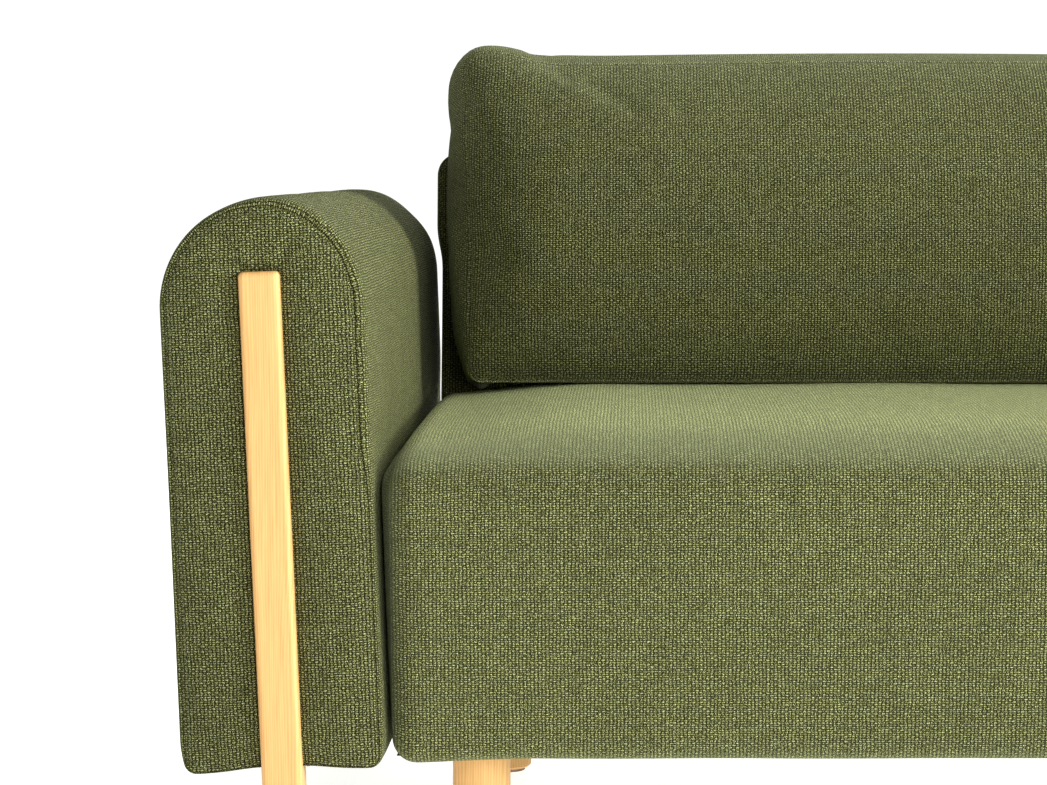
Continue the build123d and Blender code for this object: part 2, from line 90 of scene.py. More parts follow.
def wob(x, y, z, scale, seed=0.0):
    """Smooth gradient noise in about -1..1 at points in mm, with features about `scale` mm across."""
    x, y, z = np.broadcast_arrays(np.asarray(x, float), np.asarray(y, float), np.asarray(z, float))
    p = np.stack([x / scale + seed, y / scale + 7.3, z / scale - seed], -1)
    i = np.floor(p).astype(int)
    f = p - i
    u = f * f * f * (f * (f * 6 - 15) + 10)
    i &= 255
    out = np.zeros(x.shape)
    for cx in (0, 1):
        for cy in (0, 1):
            for cz in (0, 1):
                h = _perm[_perm[_perm[i[..., 0] + cx] + i[..., 1] + cy] + i[..., 2] + cz]
                g = _grad[h]
                d = (g[..., 0] * (f[..., 0] - cx) + g[..., 1] * (f[..., 1] - cy) + g[..., 2] * (f[..., 2] - cz))
                w = (u[..., 0] if cx else 1 - u[..., 0]) * (u[..., 1] if cy else 1 - u[..., 1]) * (u[..., 2] if cz else 1 - u[..., 2])
                out += d * w
    return out * 1.5


# ------------------------------------------------------------------ mesh helpers
class Shell:
    """Collects grids with UVs in metres, then welds them into one closed mesh."""

    def __init__(self):
        self.v, self.f, self.uv, self.n = [], [], [], 0

    def grid(self, P, UV, flip=False, ring=False):
        n, m = P.shape[:2]
        base = self.n
        self.v.append(P.reshape(-1, 3))
        self.n += n * m
        for i in range(n - 1):
            for j in range(m if ring else m - 1):
                j1 = (j + 1) % m
                q = [(i, j), (i, j1), (i + 1, j1), (i + 1, j)]
                uv = [UV[a, b] if not (ring and j1 == 0 and b == 0) else UV[a, b] + self.wrap for a, b in q]
                idx = [base + a * m + b for a, b in q]
                if flip:
                    idx, uv = idx[::-1], uv[::-1]
                self.f.append(idx)
                self.uv.extend(uv)
        return base

    wrap = np.zeros(2)

    def build(self, name, weld=2e-5):
        v = np.concatenate(self.v)
        me = bpy.data.meshes.new(name)
        me.from_pydata(v.tolist(), [], self.f)
        layer = me.uv_layers.new(name="weave")
        layer.data.foreach_set("uv", np.asarray(self.uv, np.float32).ravel())
        bm = bmesh.new()
        bm.from_mesh(me)
        bmesh.ops.remove_doubles(bm, verts=bm.verts, dist=weld)
        holes = [e for e in bm.edges if e.is_boundary]
        print("SHELL", name, len(bm.verts), "open edges", len(holes), flush=True)
        if 0 < len(holes) < 400:
            bmesh.ops.holes_fill(bm, edges=holes, sides=0)
        bmesh.ops.recalc_face_normals(bm, faces=bm.faces)
        bm.to_mesh(me)
        bm.free()
        me.shade_smooth()
        o = bpy.data.objects.new(name, me)
        scene.collection.objects.link(o)
        return o


def loop_normals(p):
    """Outward normals of a closed loop of 2-D points (counter-clockwise)."""
    t = np.roll(p, -1, 0) - np.roll(p, 1, 0)
    n = np.stack([t[:, 1], -t[:, 0]], 1)
    n /= np.linalg.norm(n, axis=1)[:, None] + 1e-12
    return n


def dist_to_loop(U, W, p):
    """Distance of each grid point to the nearest point of the loop (which is densely sampled)."""
    q = np.roll(p, -1, 0)
    pts = np.concatenate([p, 0.5 * (p + q)])
    P = np.stack([U.ravel(), W.ravel()], 1)
    out = np.empty(len(P))
    for i in range(0, len(P), 2000):
        blk = P[i:i + 2000]
        out[i:i + 2000] = np.sqrt(((blk[:, None, :] - pts[None]) ** 2).sum(-1).min(1))
    return out.reshape(U.shape)


SEAMS = {}


def slab(name, rows, ks, front, rear, band, place, uv_back_shift=0.5):
    """A pillow made of a front face, a rear face and a band round the edge.
    rows: (w, u_low, u_high) from the bottom up. front(U, W, dist) and rear(...) give depths.
    band: list of functions (positions, normals, arclength) -> (offset, depth), front to rear.
    place(U, D, W) -> x, y, z in metres. Returns the object."""
    rows = np.asarray(rows, float)
    ks = np.asarray(ks, float)
    U = rows[:, 1:2] + (rows[:, 2:3] - rows[:, 1:2]) * (ks[None, :] + 1) / 2
    W = np.repeat(rows[:, 0:1], len(ks), 1)
    nr, nk = U.shape
    ids = [(0, j) for j in range(nk)] + [(i, nk - 1) for i in range(1, nr)]
    ids += [(nr - 1, j) for j in range(nk - 2, -1, -1)] + [(i, 0) for i in range(nr - 2, 0, -1)]
    I, J = np.array([a for a, b in ids]), np.array([b for a, b in ids])
    p = np.stack([U[I, J], W[I, J]], 1)
    nrm = loop_normals(p)
    dist = dist_to_loop(U, W, p)
    sh = Shell()

    def xyz(u, d, w):
        x, y, z = place(u, d, w)
        return np.stack(np.broadcast_arrays(x, y, z), -1)

    F = front(U, W, dist)
    R = rear(U, W, dist)
    sh.grid(xyz(U, F, W), np.stack([U, W], -1) * MM)
    sh.grid(xyz(U, R, W), np.stack([-U, W], -1) * MM + [uv_back_shift, 0], flip=True)
    seg = np.hypot(*(np.roll(p, -1, 0) - p).T)
    arc = np.concatenate([[0], np.cumsum(seg)[:-1]])
    rings, uvs = [xyz(p[:, 0], F[I, J], p[:, 1])], [np.stack([F[I, J], arc], 1)]
    for fn in band:
        o, d = fn(p, nrm, arc)
        o, d = np.broadcast_to(o, arc.shape), np.broadcast_to(d, arc.shape)
        q = p + nrm * o[:, None]
        rings.append(xyz(q[:, 0], d, q[:, 1]))
        uvs.append(np.stack([d, arc], 1))
    rings.append(xyz(p[:, 0], R[I, J], p[:, 1]))
    uvs.append(np.stack([R[I, J], arc], 1))
    R3 = np.stack(rings)
    run = np.concatenate([[0], np.cumsum(np.median(np.linalg.norm(np.diff(R3, axis=0), axis=2), axis=1))]) / MM
    for k_, uv_ in enumerate(uvs):
        uv_[:, 0] = run[k_]
    UV = np.stack(uvs) * MM
    sh.wrap = np.array([0, (arc[-1] + seg[-1]) * MM])
    # the ring closes on itself: repeat the first column so that UVs run on
    P = np.stack(rings)
    P = np.concatenate([P, P[:, :1]], 1)
    UV = np.concatenate([UV, UV[:, :1] + sh.wrap], 1)
    sh.grid(P, UV, flip=True)
    SEAMS[name] = (rings[0].copy(), rings[-1].copy())
    return sh.build(name)


# ------------------------------------------------------------------ materials
def principled(name):
    m = bpy.data.materials.new(name)
    m.use_nodes = True
    nt = m.node_tree
    for n in list(nt.nodes):
        if n.type not in ("OUTPUT_MATERIAL", "BSDF_PRINCIPLED"):
            nt.nodes.remove(n)
    b = next(n for n in nt.nodes if n.type == "BSDF_PRINCIPLED")
    return m, nt, b


def math_node(nt, op, a, b=None, c=None, clamp=False):
    n = nt.nodes.new("ShaderNodeMath")
    n.operation = op
    n.use_clamp = clamp
    for k, v in enumerate((a, b, c)):
        if v is None:
            continue
        if isinstance(v, (int, float)):
            n.inputs[k].default_value = v
        else:
            nt.links.new(v, n.inputs[k])
    return n.outputs[0]


def vmath(nt, op, a, b=None):
    n = nt.nodes.new("ShaderNodeVectorMath")
    n.operation = op
    for k, v in enumerate((a, b)):
        if v is None:
            continue
        if isinstance(v, (tuple, list)):
            n.inputs[k].default_value = v
        else:
            nt.links.new(v, n.inputs[k])
    return n.outputs[0] if op not in ("LENGTH", "DOT_PRODUCT") else n.outputs[1]


def mixc(nt, fac, a, b, blend="MIX"):
    n = nt.nodes.new("ShaderNodeMix")
    n.data_type = "RGBA"
    n.blend_type = blend
    n.clamp_factor = True
    for sock, v in ((n.inputs[0], fac), (n.inputs[6], a), (n.inputs[7], b)):
        if isinstance(v, (int, float)):
            sock.default_value = v
        elif isinstance(v, (tuple, list)):
            sock.default_value = (*v, 1.0) if len(v) == 3 else v
        else:
            nt.links.new(v, sock)
    return n.outputs[2]


def noise_tex(nt, vec, scale, detail=2.0, rough=0.5, dist=0.0):
    n = nt.nodes.new("ShaderNodeTexNoise")
    n.inputs["Scale"].default_value = scale
    n.inputs["Detail"].default_value = detail
    n.inputs["Roughness"].default_value = rough
    n.inputs["Distortion"].default_value = dist
    if vec is not None:
        nt.links.new(vec, n.inputs["Vector"])
    return n


def ramp(nt, fac, stops):
    n = nt.nodes.new("ShaderNodeValToRGB")
    e = n.color_ramp.elements
    while len(e) < len(stops):
        e.new(0.5)
    for k, (pos, col) in enumerate(stops):
        e[k].position = pos
        e[k].color = (*col, 1.0)
    nt.links.new(fac, n.inputs[0])
    return n.outputs[0]


WEAVE = (0.00338, 0.00218)
# painted light: the band round the seat block, by distance round it, whose colour is painted lighter on top
SEAT_TOP_PAINTED_LIGHT_V = (0.565, 0.68, 1.19, 1.24)


def weave_fabric(name, dark, mid, light, cell=WEAVE, bump=0.55, painted_top_light=None, gain=1.0, sheen=0.16):
    m, nt, b = principled(name)
    uv = nt.nodes.new("ShaderNodeUVMap")
    uv.uv_map = "weave"
    co = uv.outputs[0]
    # threads wander a little
    wn = noise_tex(nt, vmath(nt, "MULTIPLY", co, (60.0, 60.0, 60.0)), 1.0, 2.0)
    off = vmath(nt, "SUBTRACT", wn.outputs["Color"], (0.5, 0.5, 0.5))
    off = vmath(nt, "MULTIPLY", off, (0.9, 0.9, 0.0))
    fine = noise_tex(nt, vmath(nt, "MULTIPLY", co, (420.0, 420.0, 420.0)), 1.0, 1.0)
    off2 = vmath(nt, "MULTIPLY", vmath(nt, "SUBTRACT", fine.outputs["Color"], (0.5, 0.5, 0.5)), (0.42, 0.42, 0.0))
    p = vmath(nt, "MULTIPLY", co, (1 / cell[0], 1 / cell[1], 0.0))
    p = vmath(nt, "ADD", vmath(nt, "ADD", p, off), off2)
    sp = nt.nodes.new("ShaderNodeSeparateXYZ")
    nt.links.new(p, sp.inputs[0])
    X, Y = sp.outputs[0], sp.outputs[1]
    ix, iy = math_node(nt, "FLOOR", X), math_node(nt, "FLOOR", Y)
    fx, fy = math_node(nt, "FRACT", X), math_node(nt, "FRACT", Y)
    chk = math_node(nt, "ABSOLUTE", math_node(nt, "MODULO", math_node(nt, "ADD", ix, iy), 2.0))
    chk = math_node(nt, "GREATER_THAN", chk, 0.5)
    sx = math_node(nt, "SINE", math_node(nt, "MULTIPLY", fx, math.pi))
    sy = math_node(nt, "SINE", math_node(nt, "MULTIPLY", fy, math.pi))
    h_weft = math_node(nt, "MULTIPLY", math_node(nt, "POWER", sy, 1.0), math_node(nt, "POWER", sx, 0.5))
    h_warp = math_node(nt, "MULTIPLY", math_node(nt, "MULTIPLY", math_node(nt, "POWER", sx, 1.3), math_node(nt, "POWER", sy, 0.6)), 0.78)
    h = math_node(nt, "ADD", math_node(nt, "MULTIPLY", h_weft, math_node(nt, "SUBTRACT", 1.0, chk)), math_node(nt, "MULTIPLY", h_warp, chk))
    # per-crossing variation
    cid = nt.nodes.new("ShaderNodeCombineXYZ")
    nt.links.new(ix, cid.inputs[0])
    nt.links.new(iy, cid.inputs[1])
    wh = nt.nodes.new("ShaderNodeTexWhiteNoise")
    wh.noise_dimensions = "3D"
    nt.links.new(cid.outputs[0], wh.inputs["Vector"])
    rnd = wh.outputs["Value"]
    # fibres: fine streaks, loops and fluff about as fine as the yarn's own twist
    fib = noise_tex(nt, vmath(nt, "MULTIPLY", co, (1500.0, 2600.0, 1.0)), 1.0, 3.0, 0.65)
    fluff = noise_tex(nt, vmath(nt, "MULTIPLY", co, (1150.0, 1450.0, 1.0)), 1.0, 2.0, 0.6)
    tone = math_node(nt, "MULTIPLY", h, math_node(nt, "ADD", math_node(nt, "MULTIPLY", rnd, 0.26), 0.72))
    tone = math_node(nt, "ADD", tone, math_node(nt, "MULTIPLY", math_node(nt, "SUBTRACT", fluff.outputs[0], 0.5), 3.9))
    tone = math_node(nt, "ADD", tone, -0.17, clamp=True)
    col = ramp(nt, tone, [(0.0, dark), (0.2, tuple(0.66 * d + 0.34 * c for d, c in zip(dark, mid))), (0.46, mid), (1.0, light)])
    # broad shading of the pile, a few per cent, at two sizes
    broad = noise_tex(nt, vmath(nt, "MULTIPLY", co, (5.0, 3.0, 1.0)), 1.0, 3.0, 0.55)
    patch = noise_tex(nt, vmath(nt, "MULTIPLY", co, (34.0, 22.0, 1.0)), 1.0, 3.0, 0.6)
    v = math_node(nt, "ADD", math_node(nt, "MULTIPLY", broad.outputs[0], 0.30), math_node(nt, "MULTIPLY", patch.outputs[0], 0.34))
    # gain sets a painted light level for this copy of the fabric
    v = math_node(nt, "MULTIPLY", math_node(nt, "ADD", v, 0.68), gain)
    # vertical slubs: some warp ends are darker over a long run
    slub = noise_tex(nt, vmath(nt, "MULTIPLY", co, (260.0, 9.0, 1.0)), 1.0, 2.0, 0.6)
    slubh = noise_tex(nt, vmath(nt, "MULTIPLY", co, (12.0, 330.0, 1.0)), 1.0, 2.0, 0.6)
    v = math_node(nt, "MULTIPLY", v, math_node(nt, "ADD", math_node(nt, "MULTIPLY", slub.outputs[0], 0.36), 0.82))
    v = math_node(nt, "MULTIPLY", v, math_node(nt, "ADD", math_node(nt, "MULTIPLY", slubh.outputs[0], 0.24), 0.88))
    if painted_top_light:
        # painted light: the top of the seat is painted up to 1.86 times lighter, standing in for light falling on it
        # from above; v is the distance round the block
        spv = nt.nodes.new("ShaderNodeSeparateXYZ")
        nt.links.new(uv.outputs[0], spv.inputs[0])
        up = nt.nodes.new("ShaderNodeMapRange")
        up.interpolation_type = "SMOOTHSTEP"
        up.inputs[1].default_value, up.inputs[2].default_value = painted_top_light[0], painted_top_light[1]
        up.inputs[3].default_value, up.inputs[4].default_value = 1.0, painted_top_light[4]
        nt.links.new(spv.outputs[1], up.inputs[0])
        dn = nt.nodes.new("ShaderNodeMapRange")
        dn.interpolation_type = "SMOOTHSTEP"
        dn.inputs[1].default_value, dn.inputs[2].default_value = painted_top_light[2], painted_top_light[3]
        dn.inputs[3].default_value, dn.inputs[4].default_value = 1.0, 1.0 / painted_top_light[4]
        nt.links.new(spv.outputs[1], dn.inputs[0])
        v = math_node(nt, "MULTIPLY", v, math_node(nt, "MULTIPLY", up.outputs[0], dn.outputs[0]))
    hsv = nt.nodes.new("ShaderNodeHueSaturation")
    nt.links.new(col, hsv.inputs["Color"])
    nt.links.new(v, hsv.inputs["Value"])
    hue = math_node(nt, "ADD", math_node(nt, "MULTIPLY", rnd, 0.012), 0.494)
    nt.links.new(hue, hsv.inputs["Hue"])
    nt.links.new(hsv.outputs[0], b.inputs["Base Color"])
    rg = math_node(nt, "ADD", math_node(nt, "MULTIPLY", fluff.outputs[0], 0.12), 0.84)
    nt.links.new(rg, b.inputs["Roughness"])
    b.inputs["Specular IOR Level"].default_value = 0.08
    b.inputs["Sheen Weight"].default_value = sheen
    b.inputs["Sheen Roughness"].default_value = 0.5
    b.inputs["Sheen Tint"].default_value = (0.80, 0.90, 0.50, 1.0)
    hb = math_node(nt, "ADD", h, math_node(nt, "MULTIPLY", fib.outputs[0], 0.30))
    hb = math_node(nt, "ADD", hb, math_node(nt, "MULTIPLY", fluff.outputs[0], 0.9))
    bm_ = nt.nodes.new("ShaderNodeBump")
    bm_.inputs["Strength"].default_value = bump
    bm_.inputs["Distance"].default_value = 0.0011
    nt.links.new(hb, bm_.inputs["Height"])
    nt.links.new(bm_.outputs[0], b.inputs["Normal"])
    return m


GREEN = dict(dark=(0.002, 0.003, 0.0001), mid=(0.100, 0.106, 0.026), light=(0.57, 0.59, 0.275))
# painted light: one green fabric in three copies; the seat copy is painted brighter (gain 1.07 against 0.94 and 0.95)
# and its top lighter still, standing in for more light on the seat
M_FABRIC = weave_fabric("green_weave", **GREEN, gain=0.94)
M_SEAT = weave_fabric("green_weave_seat_painted_light", **GREEN, painted_top_light=(SEAT_TOP_PAINTED_LIGHT_V[0], SEAT_TOP_PAINTED_LIGHT_V[1], SEAT_TOP_PAINTED_LIGHT_V[2], SEAT_TOP_PAINTED_LIGHT_V[3], 1.86), gain=1.07, sheen=0.34)
M_ARM = weave_fabric("green_weave_arm", **GREEN, gain=0.95, sheen=0.08)


def wood_mat(name, light, dark, axis="Z", rings=1.0):
    m, nt, b = principled(name)
    tc = nt.nodes.new("ShaderNodeTexCoord")
    co = tc.outputs["Object"]
    al = {"Z": (1, 1, 0.045), "Y": (1, 0.045, 1), "X": (0.045, 1, 1)}[axis]
    st = vmath(nt, "MULTIPLY", co, al)
    warp = noise_tex(nt, vmath(nt, "MULTIPLY", st, (30.0, 30.0, 30.0)), 1.0, 2.0)
    st2 = vmath(nt, "ADD", vmath(nt, "MULTIPLY", st, (330.0, 330.0, 330.0)), vmath(nt, "MULTIPLY", warp.outputs["Color"], (2.2, 2.2, 2.2)))
    grain = noise_tex(nt, st2, 1.0, 4.0, 0.6)
    fine = noise_tex(nt, vmath(nt, "MULTIPLY", st, (1500.0, 1500.0, 400.0)), 1.0, 3.0, 0.6)
    big = noise_tex(nt, vmath(nt, "MULTIPLY", st, (26.0, 26.0, 60.0)), 1.0, 2.0, 0.5)
    wv = nt.nodes.new("ShaderNodeTexWave")
    wv.wave_type = "BANDS"
    wv.bands_direction = "X" if axis != "X" else "Y"
    wv.inputs["Scale"].default_value = 120.0 * rings
    wv.inputs["Distortion"].default_value = 3.2
    wv.inputs["Detail"].default_value = 2.0
    wv.inputs["Detail Scale"].default_value = 1.2
    nt.links.new(vmath(nt, "ADD", st, vmath(nt, "MULTIPLY", big.outputs["Color"], (0.02, 0.02, 0.02))), wv.inputs["Vector"])
    t = math_node(nt, "MULTIPLY", grain.outputs[0], 0.62)
    t = math_node(nt, "ADD", t, math_node(nt, "MULTIPLY", wv.outputs["Fac"], 0.20))
    t = math_node(nt, "ADD", t, math_node(nt, "MULTIPLY", fine.outputs[0], 0.16))
    t = math_node(nt, "ADD", t, math_node(nt, "MULTIPLY", big.outputs[0], 0.16), clamp=True)
    midc = tuple(0.55 * a + 0.45 * c for a, c in zip(light, dark))
    col = ramp(nt, t, [(0.28, dark), (0.5, midc), (0.72, light), (1.0, tuple(min(1, c * 1.06) for c in light))])
    nt.links.new(col, b.inputs["Base Color"])
    nt.links.new(math_node(nt, "ADD", math_node(nt, "MULTIPLY", fine.outputs[0], 0.16), 0.42), b.inputs["Roughness"])
    b.inputs["Specular IOR Level"].default_value = 0.35
    bp = nt.nodes.new("ShaderNodeBump")
    bp.inputs["Strength"].default_value = 0.18
    bp.inputs["Distance"].default_value = 0.0004
    nt.links.new(math_node(nt, "ADD", fine.outputs[0], math_node(nt, "MULTIPLY", grain.outputs[0], 0.8)), bp.inputs["Height"])
    nt.links.new(bp.outputs[0], b.inputs["Normal"])
    return m


M_WOOD = wood_mat("honey_wood", (0.80, 0.475, 0.175), (0.56, 0.285, 0.085))
M_TIMBER_X = wood_mat("frame_timber_x", (0.62, 0.44, 0.24), (0.42, 0.27, 0.13), "X")
M_TIMBER_Y = wood_mat("frame_timber_y", (0.62, 0.44, 0.24), (0.42, 0.27, 0.13), "Y")
M_TIMBER_Z = wood_mat("frame_timber_z", (0.62, 0.44, 0.24), (0.42, 0.27, 0.13), "Z")
M_PLY = wood_mat("birch_ply", (0.66, 0.50, 0.31), (0.50, 0.35, 0.20), "Y", 0.5)


def plain_grain(name, base, rough, metallic=0.0, scale=900.0, amount=0.12, bump=0.15, coat=0.0, spec=0.5, stretch=(1, 1, 1)):
    """Painted, plated, moulded and felted surfaces: fine mottling, uneven gloss and a light bump."""
    m, nt, b = principled(name)
    tc = nt.nodes.new("ShaderNodeTexCoord")
    co = vmath(nt, "MULTIPLY", tc.outputs["Object"], stretch)
    f = noise_tex(nt, co, scale, 4.0, 0.6)
    g = noise_tex(nt, co, scale / 22, 3.0, 0.5)
    v = math_node(nt, "ADD", math_node(nt, "MULTIPLY", f.outputs[0], amount), math_node(nt, "MULTIPLY", g.outputs[0], amount))
    lo_ = tuple(c * (1 - amount * 1.6) for c in base)
    hi_ = tuple(min(1, c * (1 + amount * 1.6) + amount * 0.01) for c in base)
    col = ramp(nt, math_node(nt, "ADD", math_node(nt, "MULTIPLY", f.outputs[0], 0.5), math_node(nt, "MULTIPLY", g.outputs[0], 0.5)), [(0.3, lo_), (0.7, hi_)])
    nt.links.new(col, b.inputs["Base Color"])
    nt.links.new(math_node(nt, "ADD", v, rough - amount), b.inputs["Roughness"])
    b.inputs["Metallic"].default_value = metallic
    b.inputs["Specular IOR Level"].default_value = spec
    b.inputs["Coat Weight"].default_value = coat
    bp = nt.nodes.new("ShaderNodeBump")
    bp.inputs["Strength"].default_value = bump
    bp.inputs["Distance"].default_value = 0.0003
    nt.links.new(f.outputs[0], bp.inputs["Height"])
    nt.links.new(bp.outputs[0], b.inputs["Normal"])
    return m


M_BLACK_STEEL = plain_grain("black_powder_coat", (0.030, 0.030, 0.033), 0.46, 0.0, 1600, 0.10, 0.35, spec=0.5)
M_ZINC = plain_grain("zinc_plate", (0.60, 0.60, 0.58), 0.34, 1.0, 700, 0.10, 0.08)
M_RUBBER = plain_grain("black_rubber", (0.018, 0.018, 0.019), 0.78, 0.0, 1100, 0.12, 0.3, spec=0.3)
M_NYLON = plain_grain("nylon_washer", (0.78, 0.77, 0.72), 0.5, 0.0, 700, 0.06, 0.05)
M_FELT = plain_grain("grey_felt", (0.26, 0.22, 0.18), 0.95, 0.0, 2200, 0.35, 0.9, spec=0.1)
M_FOAM = plain_grain("cream_foam", (0.72, 0.64, 0.44), 0.92, 0.0, 1400, 0.16, 0.7, spec=0.2)
M_ZIP = plain_grain("dark_zip", (0.030, 0.038, 0.016), 0.8, 0.0, 1500, 0.25, 0.6, spec=0.2)


def spunbond(name):
    """Black non-woven cloth under the seat: pressed diamond dots and loose fibres."""
    m, nt, b = principled(name)
    tc = nt.nodes.new("ShaderNodeTexCoord")
    co = tc.outputs["Object"]
    vo = nt.nodes.new("ShaderNodeTexVoronoi")
    vo.inputs["Scale"].default_value = 420.0
    vo.inputs["Randomness"].default_value = 0.25
    nt.links.new(co, vo.inputs["Vector"])
    fb = noise_tex(nt, vmath(nt, "MULTIPLY", co, (700.0, 2600.0, 700.0)), 1.0, 4.0, 0.7)
    t = math_node(nt, "ADD", math_node(nt, "MULTIPLY", vo.outputs["Distance"], 0.6), math_node(nt, "MULTIPLY", fb.outputs[0], 0.5))
    nt.links.new(ramp(nt, t, [(0.2, (0.010, 0.010, 0.010)), (0.9, (0.050, 0.050, 0.050))]), b.inputs["Base Color"])
    b.inputs["Roughness"].default_value = 0.9
    b.inputs["Specular IOR Level"].default_value = 0.2
    bp = nt.nodes.new("ShaderNodeBump")
    bp.inputs["Strength"].default_value = 0.5
    bp.inputs["Distance"].default_value = 0.0004
    nt.links.new(t, bp.inputs["Height"])
    nt.links.new(bp.outputs[0], b.inputs["Normal"])
    return m


M_DUST = spunbond("black_spunbond")


def webbing_mat(name):
    m, nt, b = principled(name)
    tc = nt.nodes.new("ShaderNodeTexCoord")
    sp = nt.nodes.new("ShaderNodeSeparateXYZ")
    nt.links.new(vmath(nt, "MULTIPLY", tc.outputs["Object"], (900.0, 900.0, 700.0)), sp.inputs[0])
    a = math_node(nt, "SINE", math_node(nt, "MULTIPLY", sp.outputs[0], 2.0))
    c = math_node(nt, "SINE", math_node(nt, "MULTIPLY", sp.outputs[2], 2.0))
    t = math_node(nt, "ADD", math_node(nt, "MULTIPLY", math_node(nt, "MULTIPLY", a, c), 0.4), 0.5)
    nt.links.new(ramp(nt, t, [(0.1, (0.03, 0.03, 0.027)), (0.9, (0.13, 0.13, 0.115))]), b.inputs["Base Color"])
    b.inputs["Roughness"].default_value = 0.85
    bp = nt.nodes.new("ShaderNodeBump")
    bp.inputs["Strength"].default_value = 0.6
    bp.inputs["Distance"].default_value = 0.0006
    nt.links.new(t, bp.inputs["Height"])
    nt.links.new(bp.outputs[0], b.inputs["Normal"])
    return m


M_WEB = webbing_mat("elastic_webbing")

CAD_MATS = {
    "light_wood": M_WOOD, "bracket_steel": M_BLACK_STEEL, "tube_steel": M_BLACK_STEEL, "zinc_steel": M_ZINC,
    "black_rubber": M_RUBBER, "nylon": M_NYLON, "felt": M_FELT, "foam": M_FOAM, "cushion_fill": M_FOAM,
    "dust_cloth": M_DUST, "webbing": M_WEB, "trim_tape": M_ZIP, "plywood": M_PLY, "frame_timber": M_TIMBER_X, "upholstery": M_FABRIC,
}
for sub in frame["record"]["subparts"]:
    o = frame["nodes"][sub["node"]]
    mat = CAD_MATS[sub["material_slot"]]
    nm = sub["node"]
    if sub["material_slot"] == "frame_timber":
        if nm.endswith("posts") or nm.endswith("stiles"):
            mat = M_TIMBER_Z
        elif nm in ("seat_left_rail", "seat_right_rail", "seat_center_beam", "seat_slats"):
            mat = M_TIMBER_Y
    o.data.materials.clear()
    o.data.materials.append(mat)


def finish_piece(o, body, mat, slot, *nodes, subsurf=1, fill=None):
    o.data.materials.clear()
    o.data.materials.append(mat)
    if subsurf:
        s = o.modifiers.new("sub", "SUBSURF")
        s.levels = s.render_levels = subsurf
        s.boundary_smooth = "PRESERVE_CORNERS"
        s.uv_smooth = "PRESERVE_BOUNDARIES"
        bpy.context.view_layer.objects.active = o
        for x in bpy.context.selected_objects:
            x.select_set(False)
        o.select_set(True)
        bpy.ops.object.modifier_apply(modifier=s.name)
        o.data.shade_smooth()
    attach(o, body)
    if nodes:
        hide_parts(*nodes)
    return o


# ------------------------------------------------------------------ seat block
def resample(points, step, closed=True, rounds=2):
    """Rounds a polyline off and samples it evenly."""
    p = np.asarray(points, float)
    for _ in range(rounds):
        nx = np.roll(p, -1, 0) if closed else p[1:]
        a = p if closed else p[:-1]
        q = np.stack([a * 0.75 + nx * 0.25, a * 0.25 + nx * 0.75], 1).reshape(-1, 2)
        p = q if closed else np.concatenate([p[:1], q, p[-1:]])
    loop = np.concatenate([p, p[:1]]) if closed else p
    s = np.concatenate([[0], np.cumsum(np.hypot(*np.diff(loop, axis=0).T))])
    n = int(round(s[-1] / step))
    t = np.linspace(0, s[-1], n + 1)[:-1] if closed else np.linspace(0, s[-1], n + 1)
    return np.stack([np.interp(t, s, loop[:, 0]), np.interp(t, s, loop[:, 1])], 1), t


